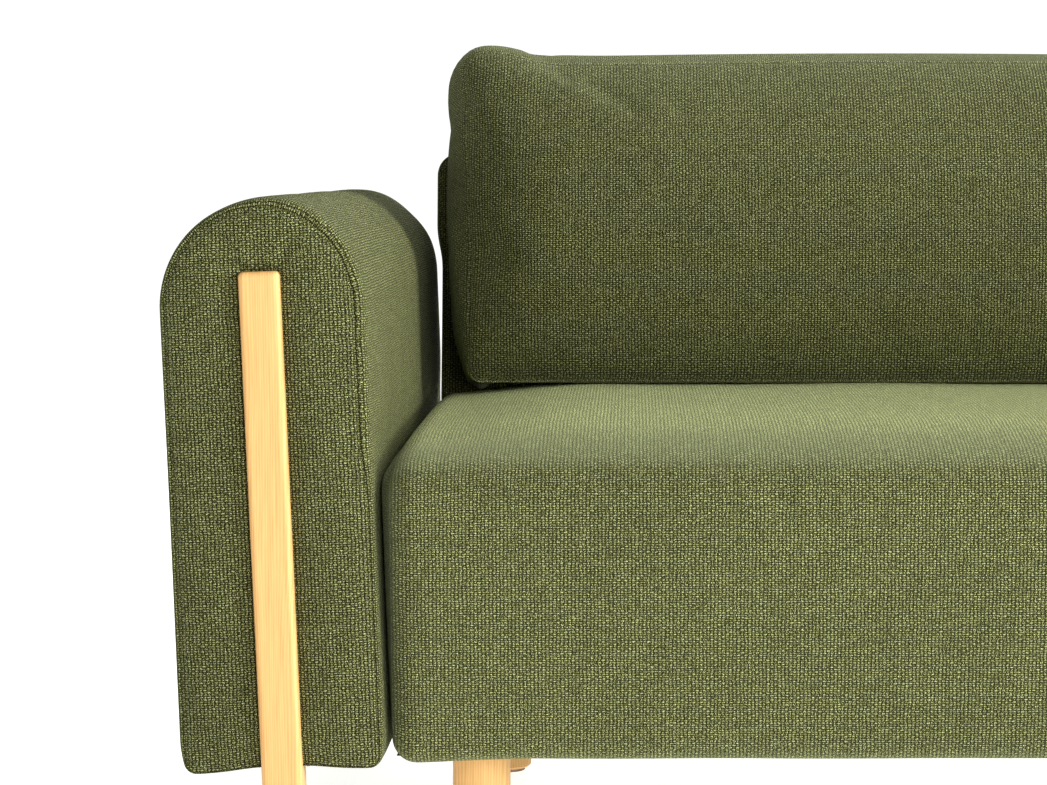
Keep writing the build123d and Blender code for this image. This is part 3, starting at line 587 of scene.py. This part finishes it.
def seat_piece():
    prof = [
        (340, 137.0), (200, 137.0), (90, 136.6), (50, 136.2), (32, 136.4), (24, 138), (19, 142), (16.5, 150), (13, 180), (8, 230), (4, 290), (1.0, 345),
        (0.0, 378), (1.2, 392), (4.5, 401), (11, 408.5), (20, 414), (34, 419.5), (48, 423.5), (64, 427.2), (84, 431), (110, 434.6),
        (140, 438), (170, 440), (250, 441), (420, 441), (560, 440), (592, 439.8), (614, 438), (638, 431), (659, 420.5), (675, 408), (683.2, 397), (684.6, 385),
        (684.6, 330), (684.6, 240), (684.0, 170), (682, 148), (676, 140), (664, 137.2), (520, 137.0),
    ]
    P, s = resample(prof, 9.0)
    n = loop_normals(P)
    n = -n if (n[:, 1] * (P[:, 1] - 290)).sum() < 0 else n
    R = 24.0
    half = 1000.0
    xs = [half - R + R * math.sin(a) for a in np.linspace(0, math.pi / 2, 9)]
    inset = [R - R * math.cos(a) for a in np.linspace(0, math.pi / 2, 9)]
    inner = np.linspace(0, half - R, 76)[:-1]
    X = np.concatenate([-np.array(xs[::-1]), -inner[::-1][:-1], inner, np.array(xs)])
    T = np.concatenate([np.array(inset[::-1]), np.zeros(len(inner) - 1), np.zeros(len(inner)), np.array(inset)])
    sh = Shell()
    D = P[None, :, 0] - n[None, :, 0] * T[:, None]
    Z = P[None, :, 1] - n[None, :, 1] * T[:, None]
    XX = np.repeat(X[:, None], len(P), 1)
    edge = 1000 - np.abs(XX)
    # the crown of the seat falls away to both ends
    up = smooth(380, 436, Z) * smooth(-5, 120, D)
    Z = Z - up * 15.0 * (1 - smooth(0, 210, edge)) ** 1.5
    Z = Z - smooth(300, 430, Z) * (1 - smooth(0, 60, D)) * 5.0 * (1 - smooth(0, 120, edge))
    # front face: barely pillowed, and a little slack along the lower edge
    frontm = (1 - smooth(40, 90, D)) * smooth(150, 200, Z) * (1 - smooth(360, 400, Z))
    D = D - frontm * (1.6 * wob(XX, 0, Z * 1.4, 260, 3.1) + 0.7 * wob(XX, 0, Z, 90, 1.7))
    topm = smooth(400, 436, Z) * smooth(60, 160, D) * (1 - smooth(600, 660, D))
    Z = Z + topm * (2.2 * wob(XX, D, 0, 330, 5.5) + 0.9 * wob(XX, D, 0, 110, 8.2))
    lowm = (1 - smooth(136, 170, Z))
    Z = Z - lowm * (1 - smooth(0, 130, edge)) * 4.0 * (1 - smooth(60, 200, D))
    Z = Z + lowm * 0.8 * wob(XX, D, 0, 150, 2.0) * (1 - smooth(60, 200, D))
    # side pockets for the hinge brackets
    pocket = (np.abs(XX) > 975.0) & (D > 562) & (Z > 190) & (Z < 420)
    XX = np.where(pocket, np.sign(XX) * np.minimum(np.abs(XX), 977.0), XX)
    Y = Y0 + D * MM
    V = np.stack([XX * MM, Y, Z * MM], -1)
    total = s[-1] + 9.0
    UV = np.stack([np.repeat(X[:, None], len(P), 1), np.repeat(s[None, :], len(X), 0)], -1) * MM
    V = np.concatenate([V, V[:, :1]], 1)
    UV = np.concatenate([UV, UV[:, :1] + [0, total * MM]], 1)
    sh.grid(V, UV)
    c = np.array([342.0, 289.0])
    for sgn, row in ((-1, 0), (1, len(X) - 1)):
        ks = np.array([1, 0.97, 0.94, 0.90, 0.84, 0.76, 0.66, 0.53, 0.4, 0.27, 0.14, 0.04])
        d = c[0] + (D[row][None, :] - c[0]) * ks[:, None]
        z = c[1] + (Z[row][None, :] - c[1]) * ks[:, None]
        # the ends lean out to meet the arms, away from the edges
        out = (1.5 + 0.0345 * (z - 137)) * smooth(14, 50, d) * (1 - smooth(640, 668, d)) * smooth(140, 158, z) * (1 - smooth(392, 420, z))
        x = sgn * (1000.0 + out * smooth(0.0, 0.05, 1 - ks)[:, None])
        x = np.where((d > 562) & (z > 190) & (z < 420), sgn * 977.0, x)
        V2 = np.stack([x * MM, Y0 + d * MM, z * MM], -1)
        UV2 = np.stack([d * sgn, z], -1) * MM
        V2 = np.concatenate([V2, V2[:, :1]], 1)
        UV2 = np.concatenate([UV2, UV2[:, :1]], 1)
        sh.grid(V2, UV2, flip=sgn < 0)
    return sh.build("seat_upholstery")


seat = seat_piece()
finish_piece(seat, "base", M_SEAT, "upholstery", "seat_cover", "seat_foam", fill=0.85)


# ------------------------------------------------------------------ arms
def arm_rows(half_out, half_in, top, rc, bottom):
    """(w, u_low, u_high): u runs outward, so u_low is the inner side."""
    rows = []
    for a in np.linspace(0, 90, 6)[:-1]:
        r = math.radians(a)
        rows.append((bottom + rc - rc * math.cos(r), -(half_in(0) - rc + rc * math.sin(r)), half_out(0) - rc + rc * math.sin(r)))
    for w in np.linspace(bottom + rc, top - 90, 58):
        rows.append((w, -half_in(w), half_out(w)))
    ho, hi = half_out(top), half_in(top)
    for a in list(np.linspace(3, 87, 36)):
        r = math.radians(a)
        rows.append((top - 90 + 90 * math.sin(r), -hi * math.cos(r), ho * math.cos(r)))
    return rows


def arm_piece(side, s):
    """s is +1 for the right arm. u runs outward across the arm, w up along the lean."""
    cl, sl = math.cos(ARM_LEAN), math.sin(ARM_LEAN)

    def place(u, d, w):
        # the cover is drawn up a little round the feet of the sticks
        near = np.exp(-(np.clip(np.abs(u) - 16, 0, None) / 34.0) ** 2) * (np.exp(-(d / 60.0) ** 2) + np.exp(-((d - 842) / 60.0) ** 2))
        w = w + 4.5 * near * (1 - smooth(0, 60, w))
        return s * (ARM_X + u * cl + w * sl) * MM, Y0 + d * MM, (ARM_BOT + w * cl - u * sl) * MM

    def seam_in(w):
        return 81.0 + 6.0 * (1 - smooth(235, 300, w))

    def seam_out(w):
        return 86.0 + 1.0 * (1 - smooth(0, 300, w))

    rows = arm_rows(lambda w: float(seam_out(w)), lambda w: float(seam_in(w)), 503.6, 9.0, -3.0)
    ks = np.concatenate([np.linspace(-1, -0.42, 13), np.linspace(-0.38, -0.30, 3), np.linspace(-0.275, -0.165, 7), np.linspace(-0.12, 0.12, 5), np.linspace(0.165, 0.275, 7), np.linspace(0.30, 0.38, 3), np.linspace(0.42, 1, 13)])
    half, top = 18.25, 447.0

    def stick_dist(U, W):
        """Distance outside the stick's outline, negative inside."""
        a = np.abs(U) - half
        b = W - top
        return np.where(b > 0, np.hypot(np.maximum(a + 7, 0), b + 7) - 7, a)

    def face(U, W, dist, sign, d_edge, seed):
        puff = 6.5 * (1 - np.exp(-dist / 17.0))
        sd = stick_dist(U, W)
        press = 6.5 * np.exp(-np.clip(sd, 0, None) / 11.0)
        press = np.where(sd < 0, 6.5 + np.clip(-sd, 0, 4) * 1.0, press) * (0.35 + 0.65 * smooth(10, 60, W))
        # creases that run up and out from the stick's head
        cre = np.zeros_like(U)
        for u0, w0, ang, ln, dp in ((-15, 447, 118, 46, 2.6), (15, 448, 58, 58, 3.0), (2, 452, 92, 34, 1.4), (17, 440, 28, 36, 1.5), (-18, 438, 152, 34, 1.5)):
            ca, sa = math.cos(math.radians(ang)), math.sin(math.radians(ang))
            al = (U - u0) * ca + (W - w0) * sa
            ac = -(U - u0) * sa + (W - w0) * ca
            cre += dp * np.exp(-(ac / (3.2 + 0.07 * np.clip(al, 0, None))) ** 2) * smooth(-6, 3, al) * (1 - smooth(ln * 0.35, ln, al))
        n = 1.1 * wob(U, seed * 50, W, 95, seed) + 0.55 * wob(U, seed * 30, W, 38, seed + 2)
        n = n * (1 - np.exp(-dist / 20.0))
        out = d_edge - sign * (puff - press - cre + n)
        return out

    D0, D1 = -1.2, 843.2
    front = lambda U, W, dist: face(U, W, dist, 1, D0, 1.3 + s)
    rear = lambda U, W, dist: face(U, W, dist, -1, D1, 4.7 + s)

    def sidew(p):
        """1 on the inner side, 0 on the outer side."""
        return 1 - smooth(-40, 40, p[:, 0])

    def ring(frac, depth, groove=0.0):
        def fn(p, n, arc):
            inn = sidew(p)
            w = p[:, 1]
            full = 6.3 * (1 - inn) + (11.5 - 6.0 * (1 - smooth(235, 300, w))) * inn
            # the inner side is fuller away from the seams
            belly = (3.6 * smooth(230, 330, w) * (1 - smooth(455, 500, w)) + 0.3) * inn + 1.2 * (1 - inn) * smooth(40, 200, w)
            f = np.clip(frac, 0, 1)
            extra = max(frac - 1, 0)
            o = full * f + belly * extra - groove
            low = 1 - smooth(-3, 22, w)
            o = o * (1 - low) + low * np.minimum(o, 2.6 * f + 1.2 * extra)
            mid = smooth(10, 80, depth) * (1 - smooth(760, 832, depth))
            o = o + mid * (0.9 * wob(p[:, 0], depth * 0.8, w, 150, s * 3.0) + 0.35 * wob(p[:, 0], depth, w, 60, s * 5.0)) * (1 - low)
            # the inner side is fuller towards the back, and stays clear of the back panel's swing
            rear_in = smooth(600, 770, depth) * (1 - smooth(815, 842, depth))
            o = o + rear_in * (2.8 + 1.7 * smooth(230, 330, w)) * inn * smooth(40, 110, w) * (1 - smooth(440, 485, w))
            return o, np.full(len(p), depth)
        return fn

    mid_d = (D0 + D1) / 2
    fr = [(0.10, 0.6, 1.0), (0.20, -0.4, 0.0), (0.38, -1.2, 0), (0.60, -0.2, 0), (0.80, 2.6, 0), (0.94, 7.5, 0), (1.0, 14, 0), (1.25, 24, 0), (1.6, 40, 0), (1.85, 62, 0), (2.0, 90, 0)]
    depths = list(np.linspace(115, 2 * mid_d - 115, 40))
    band = [ring(f, D0 + 1.2 + d, g) for f, d, g in fr]
    band += [ring(2.0, d) for d in depths]
    band += [ring(f, 2 * mid_d - (D0 + 1.2 + d), g) for f, d, g in fr[::-1]]
    return slab(f"{side}_arm_upholstery", rows, ks, front, rear, band, place)


for side, s in (("left", -1), ("right", 1)):
    a = arm_piece(side, s)
    finish_piece(a, "base", M_ARM, "upholstery", f"{side}_arm_cover", f"{side}_arm_foam", fill=0.85)


# ------------------------------------------------------------------ back, in the leaning frame
def back_place(u, q, sd):
    c, sn = math.cos(LEAN), math.sin(LEAN)
    return u * MM, Y0 + (PD + q * c + sd * sn) * MM, (PZ - q * sn + sd * c) * MM


def to_back(d, z):
    c, sn = math.cos(LEAN), math.sin(LEAN)
    return (d - PD) * c - (z - PZ) * sn, (d - PD) * sn + (z - PZ) * c


def panel_piece():
    Q0, Q1, S0, S1 = 77.0, 152.0, 98.0, 400.0
    t = 4.0

    def half(sd):
        return 1001.0 - t + 6.5 * float(smooth(268, 312, sd))

    rows = []
    rc = 6.0
    for a in np.linspace(0, 90, 4)[:-1]:
        r = math.radians(a)
        h = half(S0) - rc + rc * math.sin(r)
        rows.append((S0 + t + rc - rc * math.cos(r), -h, h))
    for sd in np.linspace(S0 + t + rc, S1 - t - 22, 26):
        rows.append((sd, -half(sd), half(sd)))
    for a in np.linspace(8, 90, 9):
        r = math.radians(a)
        h = half(S1) - 22 + 22 * math.cos(r)
        rows.append((S1 - t - 22 + 22 * math.sin(r), -h, h))
    ks = np.sin(np.linspace(-1, 1, 150) * math.pi / 2) * 0.25 + np.linspace(-1, 1, 150) * 0.75

    def face(sign, q_edge, seed):
        def fn(U, W, dist):
            return q_edge - sign * (3.2 * (1 - np.exp(-dist / 22.0)) + 0.8 * wob(U, seed, W, 180, seed) * (1 - np.exp(-dist / 30.0)))
        return fn

    def ring(o, q):
        def fn(p, n, arc):
            return o + (0.4 * wob(p[:, 0], q, p[:, 1], 120, 2.2) if o > 2 else 0), np.full(len(p), q)
        return fn

    fr = [(-0.9, 1.6), (0.6, 0.6), (1.6, 1.4), (2.8, 4.0), (3.6, 9.0), (4.0, 16.0), (4.0, 26.0)]
    q0, q1 = Q0 + 3.2, Q1 - 3.2
    band = [ring(o, q0 + d) for o, d in fr] + [ring(4.0, q) for q in (Q0 + 37.5,)] + [ring(o, q1 - d) for o, d in fr[::-1]]
    return slab("back_panel_upholstery", rows, ks, face(1, q0, 3.0), face(-1, q1, 9.0), band, back_place)


panel = panel_piece()
finish_piece(panel, "back", M_FABRIC, "upholstery", "back_panel_cover", "back_panel_padding", "back_webbing", subsurf=1, fill=0.7)


# ------------------------------------------------------------------ cloth
def settle(o, pinned, pressure=4.0, frames=20, cap=0.012, bend=0.6, shrink=0.0, keep=1.0):
    """Inflates a closed cover as cloth with the pinned vertices held, and keeps at most `cap` metres of its movement."""
    g = o.vertex_groups.new(name="pin")
    for i, w in enumerate(pinned):
        if w > 0:
            g.add([i], float(w), "REPLACE")
    m = o.modifiers.new("cloth", "CLOTH")
    st = m.settings
    st.quality = 6
    st.mass = 0.25
    st.tension_stiffness = st.compression_stiffness = 18
    st.shear_stiffness = 8
    st.bending_stiffness = bend
    st.tension_damping = st.compression_damping = st.shear_damping = 8
    st.air_damping = 2
    st.use_pressure = True
    st.uniform_pressure_force = pressure
    st.shrink_min = shrink
    st.vertex_group_mass = "pin"
    st.pin_stiffness = 1.0
    st.effector_weights.gravity = 0.0
    m.collision_settings.use_collision = False
    m.point_cache.frame_start, m.point_cache.frame_end = 1, frames
    for f in range(1, frames + 1):
        scene.frame_set(f)
    dg = bpy.context.evaluated_depsgraph_get()
    ev = o.evaluated_get(dg)
    n = len(o.data.vertices)
    a, b = np.empty(n * 3), np.empty(n * 3)
    o.data.vertices.foreach_get("co", a)
    ev.data.vertices.foreach_get("co", b)
    a, b = a.reshape(-1, 3), b.reshape(-1, 3)
    d = (b - a) * keep
    L = np.linalg.norm(d, axis=1)
    print("CLOTH", o.name, "moved mm mean", round(float(L.mean()) * 1000, 2), "max", round(float(L.max()) * 1000, 2), flush=True)
    d *= (np.tanh(L / cap) * cap / np.maximum(L, 1e-9))[:, None]
    o.modifiers.remove(m)
    o.vertex_groups.clear()
    o.data.vertices.foreach_set("co", (a + d).ravel())
    o.data.update()
    scene.frame_set(1)
    return o


# ------------------------------------------------------------------ back cushions
FRONT_Q = [to_back(d, z) for d, z in ((528, 441.5), (514, 452), (505, 478), (501, 520), (500, 560), (502, 620), (509, 665), (522, 705), (546, 748), (571, 778), (599, 797))]
FQ_S = np.array([p[1] for p in FRONT_Q])
FQ_Q = np.array([p[0] for p in FRONT_Q])


CQ0, CQ1 = 73.5, -86.0        # rear face and the rear edge of the front panel, in the leaning frame


def cushion_piece(side, s):
    """A boxed cushion. u runs from the sofa's middle outward, sd up along the lean."""
    U0, U1 = 5.0, 970.0

    def place(u, q, sd):
        k = smooth(360, 478, sd)
        lift = 9.5 * np.exp(-((U1 - 34 - u) / 46.0) ** 2) + 6.0 * np.exp(-((u - 34) / 46.0) ** 2)
        lift = lift - 1.5 * np.cos(u / 150.0) * smooth(80, 200, u) * (1 - smooth(U1 - 200, U1 - 80, u))
        return back_place(s * u, q, sd + k * lift)

    TOP = 470.0
    rows = []
    n = 46
    ch = 12.0
    for i in range(n + 1):
        f = i / n
        sd = 108.0 + (TOP - 108.0) * f
        # the sides pull in between the corners
        pull = math.sin(math.pi * min(max((f - 0.02) / 0.98, 0), 1)) ** 0.8
        lo_c = ch * max(0.0, 1 - (sd - 108.0) / ch) ** 2 * 0.6
        hi_c = 16.0 * max(0.0, 1 - (TOP - sd) / 16.0) ** 2 * 0.8
        rows.append((sd, U0 + 3.0 * pull + (lo_c + hi_c), U1 - 3.0 * pull - (lo_c + hi_c) - 12.0 * (1 - f) ** 2))
    ks = np.sin(np.linspace(-1, 1, 96) * math.pi / 2) * 0.45 + np.linspace(-1, 1, 96) * 0.55

    def front(U, W, dist):
        q = np.interp(W, FQ_S, FQ_Q)
        side_d = np.minimum(U - rows[0][1], U1 - U)
        e = (1 - np.exp(-np.clip(np.minimum(U - U0, U1 - U), 0, None) / 42.0))
        # the face stands out from its seam all round; the seam itself is further back near the ends
        edge_q = np.interp(W, [105, 150, 300, 400, 470], [-92, -102, -112, -106, -86])
        out = edge_q + (q - edge_q) * e
        low = 1 - smooth(0, 26, W - 108)
        out = out + low * 6.0
        out = out - 2.2 * wob(U, 0, W, 230, 2.0 + s) * e - 0.9 * wob(U, 0, W, 80, 6.0 + s) * e
        return out

    def rear(U, W, dist):
        return CQ0 + 0 * U

    def ring(f):
        def fn(p, nn, arc):
            bottom = 1 - smooth(112, 150, p[:, 1])
            up = smooth(TOP - 30, TOP - 2, p[:, 1]) * (1 - smooth(0, 14, np.abs(nn[:, 0]) * 14))
            edge_q = np.interp(p[:, 1], [105, 150, 300, 400, 470], [-92, -102, -112, -106, -86])
            prof = math.sin(math.pi * min(1, f * 1.0)) ** 0.62
            topness = np.clip(nn[:, 1], 0, 1) ** 2
            botness = np.clip(-nn[:, 1], 0, 1) ** 2
            side = 1 - topness - botness
            # on top the band rises towards its middle; at the ends it bellies out; underneath it stays flat on the seat
            o = prof * (19.5 * side + 22.0 * topness) * (1 - 0.55 * smooth(0.45, 1.0, f) * side)
            o = o * (1 - botness)
            # the ends tuck in towards the seat
            o = o * (1 - 0.62 * side * (1 - smooth(112, 178, p[:, 1])))
            o = np.where((p[:, 0] * 1.0 < U0 + 40) & (side > 0.3), np.minimum(o, 4.4 * prof), o)
            q = edge_q + (CQ0 - edge_q) * f
            # the underside is level on the seat
            w = p[:, 1]
            lev = (441.8 - PZ + q * math.sin(LEAN)) / math.cos(LEAN)
            sink = botness * (lev - w)
            return o + 0 * sink - sink * 1.0 * (botness > 0), q
        return fn

    fs = [0.012, 0.03, 0.06, 0.11, 0.17, 0.24, 0.32, 0.40, 0.48, 0.56, 0.64, 0.72, 0.80, 0.87, 0.93, 0.97, 0.99]
    o = slab(f"{side}_back_cushion", rows, ks, front, rear, [ring(f) for f in fs], place)
    return o


def near_index(me, pts):
    kd = KDTree(len(me.vertices))
    for v in me.vertices:
        kd.insert(v.co, v.index)
    kd.balance()
    return [kd.find(Vector(p))[1] for p in pts]


def sew_in(o, path, depth=1.7, width=3.0):
    """Draws the surface in along a seam."""
    P = np.asarray(path)
    Q = np.roll(P, -1, 0)
    dense = np.concatenate([P + (Q - P) * t for t in (0, 0.2, 0.4, 0.6, 0.8)])
    kd = KDTree(len(dense))
    for i, p in enumerate(dense):
        kd.insert(Vector(p), i)
    kd.balance()
    for v in o.data.vertices:
        dist = kd.find(v.co)[2] / MM
        if dist < width * 3:
            v.co -= v.normal * (depth * MM * math.exp(-(dist / width) ** 2))
    o.data.update()


cushion_seams = {}
for side, s in (("left", -1), ("right", 1)):
    c = cushion_piece(side, s)
    f_idx, r_idx = [near_index(c.data, loop) for loop in SEAMS[c.name]]
    co_ = np.empty(len(c.data.vertices) * 3)
    c.data.vertices.foreach_get("co", co_)
    co_ = co_.reshape(-1, 3)
    dd, zz = (co_[:, 1] - Y0) / MM, co_[:, 2] / MM
    cq, csd = to_back(dd, zz)
    hold = np.maximum(smooth(50, 66, cq), 1 - smooth(446, 462, zz))
    settle(c, hold, pressure=4.0, cap=0.010)
    c.data.vertices.foreach_get("co", co_.ravel())
    co_ = np.array([v.co for v in c.data.vertices])
    seams = [co_[f_idx], co_[r_idx]]
    finish_piece(c, "back", M_FABRIC, "upholstery", f"{side}_back_cushion_cover", f"{side}_back_cushion_fill", fill=0.75)
    sew_in(c, seams[0])
    mid = seams[0].mean(0)
    inner = []
    for p in seams[0]:
        d = mid - p
        d /= np.linalg.norm(d) + 1e-9
        # towards the middle, mostly straight across the seam
        inner.append(p + np.array([np.sign(d[0]) * min(1, abs(d[0]) * 1.6), 0, np.sign(d[2]) * min(1, abs(d[2]) * 3.0)]) * 0.0036)
    cushion_seams[c.name] = [inner]

# ------------------------------------------------------------------ seams: thread
def thread_mat():
    m, nt, b = principled("seam_thread")
    tc = nt.nodes.new("ShaderNodeTexCoord")
    tw = nt.nodes.new("ShaderNodeTexWave")
    tw.inputs["Scale"].default_value = 900.0
    tw.inputs["Distortion"].default_value = 1.5
    nt.links.new(tc.outputs["Object"], tw.inputs["Vector"])
    nt.links.new(ramp(nt, tw.outputs["Fac"], [(0.1, (0.030, 0.036, 0.008)), (0.9, (0.11, 0.12, 0.045))]), b.inputs["Base Color"])
    b.inputs["Roughness"].default_value = 0.62
    b.inputs["Sheen Weight"].default_value = 0.2
    return m


M_THREAD = thread_mat()


def stitches(name, host, body, paths, pitch=6.4, length=3.9, rad=0.55):
    """Rows of short threads laid on the host's surface. Paths are closed loops of points in metres."""
    from mathutils.bvhtree import BVHTree
    me0 = host.data
    tree = BVHTree.FromPolygons([v.co for v in me0.vertices], [p.vertices[:] for p in me0.polygons])
    V, F = [], []
    prof = [(-0.5, 0.35, -0.9), (-0.34, 0.95, 0.15), (0.0, 1.0, 0.45), (0.34, 0.95, 0.15), (0.5, 0.35, -0.9)]
    for path in paths:
        P = np.asarray(path)
        loop = np.concatenate([P, P[:1]])
        seg = np.linalg.norm(np.diff(loop, axis=0), axis=1)
        arc = np.concatenate([[0], np.cumsum(seg)])
        n = int(arc[-1] / (pitch * MM))
        for k in range(n):
            t = arc[-1] * k / n
            a_, b_ = [Vector([np.interp(tt % arc[-1], arc, loop[:, c]) for c in range(3)]) for tt in (t - 0.0005, t + 0.0005)]
            c_, nrm, _, dist = tree.find_nearest((a_ + b_) / 2)
            if c_ is None or dist > 0.02:
                continue
            tan = (b_ - a_)
            tan = (tan - nrm * tan.dot(nrm)).normalized()
            bi = nrm.cross(tan)
            base = len(V)
            for f, r, h in prof:
                for q in range(6):
                    an = q * math.pi / 3
                    V.append(c_ + tan * (f * length * MM) + nrm * ((h * rad + 0.1 + r * rad * math.sin(an)) * MM) + bi * (r * rad * MM * math.cos(an)))
            for g in range(4):
                for q in range(6):
                    q1 = (q + 1) % 6
                    F.append((base + g * 6 + q, base + g * 6 + q1, base + g * 6 + 6 + q1, base + g * 6 + 6 + q))
            F.append(tuple(base + q for q in range(5, -1, -1)))
            F.append(tuple(base + 24 + q for q in range(6)))
    me = bpy.data.meshes.new(name)
    me.from_pydata([tuple(v) for v in V], [], F)
    bm = bmesh.new()
    bm.from_mesh(me)
    bmesh.ops.recalc_face_normals(bm, faces=bm.faces)
    bm.to_mesh(me)
    bm.free()
    me.shade_smooth()
    o = bpy.data.objects.new(name, me)
    scene.collection.objects.link(o)
    me.materials.append(M_THREAD)
    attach(o, body)
    return o


def arm_seam_path(s, d, inset):
    cl, sl = math.cos(ARM_LEAN), math.sin(ARM_LEAN)
    pts = []
    for w in np.linspace(10, 413.6, 60):
        pts.append((86.5 - inset, w))
    for a in np.linspace(4, 176, 48):
        r = math.radians(a)
        pts.append(((86 if a < 90 else 81) * math.cos(r) - inset * math.cos(r), 413.6 + (90 - inset) * math.sin(r)))
    for w in np.linspace(413.6, 10, 60):
        pts.append((-(81.0 + 6.0 * (1 - float(smooth(235, 300, w))) - inset), w))
    pts += [(u, -3.0 + inset) for u in np.linspace(-74, 74, 26)]
    return [(s * (ARM_X + u * cl + w * sl) * MM, Y0 + d * MM, (ARM_BOT + w * cl - u * sl) * MM) for u, w in pts]


for side, s in (("left", -1), ("right", 1)):
    stitches(f"{side}_arm_stitching", bpy.data.objects[f"{side}_arm_upholstery"], "base",
             [arm_seam_path(s, -5.0, 4.2), arm_seam_path(s, 847.0, 4.2)])
    stitches(f"{side}_cushion_stitching", bpy.data.objects[f"{side}_back_cushion"], "back", cushion_seams[f"{side}_back_cushion"])


# ------------------------------------------------------------------ underside cloth
def dust_sheet():
    """Thin black cloth stapled under the seat frame, sagging a little between the staples."""
    lo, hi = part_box("seat_dust_cover")
    nx, ny = 150, 54
    X, Y = np.meshgrid(np.linspace(lo.x + 0.001, hi.x - 0.001, nx), np.linspace(lo.y + 0.001, hi.y - 0.001, ny), indexing="ij")
    x, y = X / MM, Y / MM
    ex = np.minimum(x - lo.x / MM, hi.x / MM - x)
    ey = np.minimum(y - lo.y / MM, hi.y / MM - y)
    e = np.minimum(ex, ey)
    sag = 1.6 * (1 - np.exp(-e / 60.0)) + 0.5 * wob(x, y, 0, 120, 4.0) * smooth(0, 60, e)
    pull = 0.5 * np.exp(-e / 12.0) * np.cos(2 * math.pi * np.where(ex < ey, y, x) / 55.0)
    Z = lo.z / MM - 0.9 - sag + pull
    top = np.stack([x, y, Z + 0.25], -1) * MM
    bot = np.stack([x, y, Z - 0.25], -1) * MM
    sh = Shell()
    uv = np.stack([X, Y], -1)
    sh.grid(top, uv)
    sh.grid(bot, uv, flip=True)
    for sl_ in (np.s_[0, :], np.s_[-1, :], np.s_[:, 0], np.s_[:, -1]):
        sh.grid(np.stack([top[sl_], bot[sl_]]), np.stack([uv[sl_], uv[sl_]]))
    o = sh.build("underside_dust_cloth")
    o.data.materials.append(M_DUST)
    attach(o, "base")
    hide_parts("seat_dust_cover")
    return o


dust_sheet()

# ------------------------------------------------------------------ floor, light, camera
WORLD = 0.3


def stage():
    me = bpy.data.meshes.new("floor")
    s = 14.0
    me.from_pydata([(-s, -s, 0), (s, -s, 0), (s, s, 0), (-s, s, 0)], [], [(0, 1, 2, 3)])
    fl = bpy.data.objects.new("floor", me)
    scene.collection.objects.link(fl)
    m, nt, b = principled("floor_paper")
    b.inputs["Base Color"].default_value = (0.93, 0.93, 0.925, 1)
    b.inputs["Roughness"].default_value = 0.9
    b.inputs["Specular IOR Level"].default_value = 0.1
    b.inputs["Emission Color"].default_value = (1, 1, 1, 1)
    b.inputs["Emission Strength"].default_value = 0.82
    me.materials.append(m)
    w = bpy.data.worlds.new("studio")
    scene.world = w
    w.use_nodes = True
    wt = w.node_tree
    bg = wt.nodes["Background"]
    bg.inputs[0].default_value = (1.0, 1.0, 1.0, 1)
    bg.inputs[1].default_value = WORLD
    white = wt.nodes.new("ShaderNodeBackground")
    white.inputs[0].default_value = (1.0, 1.0, 1.0, 1)
    white.inputs[1].default_value = 1.05
    lp = wt.nodes.new("ShaderNodeLightPath")
    mx = wt.nodes.new("ShaderNodeMixShader")
    wt.links.new(lp.outputs["Is Camera Ray"], mx.inputs[0])
    wt.links.new(bg.outputs[0], mx.inputs[1])
    wt.links.new(white.outputs[0], mx.inputs[2])
    wt.links.new(mx.outputs[0], wt.nodes["World Output"].inputs[0])

    def area(name, loc, target, size, power, size_y=None):
        l = bpy.data.lights.new(name, "AREA")
        l.shape = "RECTANGLE"
        l.size, l.size_y = size, size_y or size
        l.energy = power
        o = bpy.data.objects.new(name, l)
        o.location = loc
        o.rotation_euler = (Vector(target) - Vector(loc)).to_track_quat("-Z", "Y").to_euler()
        scene.collection.objects.link(o)
        return o

    area("key", (7.0, -2.5, 2.4), (-0.8, 0.0, 0.5), 3.2, 780)
    area("top_right", (3.7, 0.2, 4.7), (-0.5, 0.0, 0.5), 2.8, 210)
    area("front", (0.2, -3.6, 1.3), (-0.5, 0.0, 0.4), 1.6, 52)
    area("rear", (-0.2, 3.4, 3.6), (-0.3, 0.0, 0.5), 2.4, 90)


stage()
cam = bpy.data.cameras.new("camera")
cam.sensor_width = 36.0
cam.lens = 2700.0 / 1047.0 * 36.0
cam.shift_x = -0.1036
co = bpy.data.objects.new("camera", cam)
CAM_X, CAM_D, CAM_Z = -0.7805, -2.400, 0.675
co.location = (CAM_X, Y0 + CAM_D, CAM_Z)
co.rotation_euler = (math.radians(90 - 4.75), 0, 0)
scene.collection.objects.link(co)
scene.camera = co
cam.clip_start, cam.clip_end = 0.05, 60
scene.view_settings.view_transform = "Standard"
scene.view_settings.look = "None"
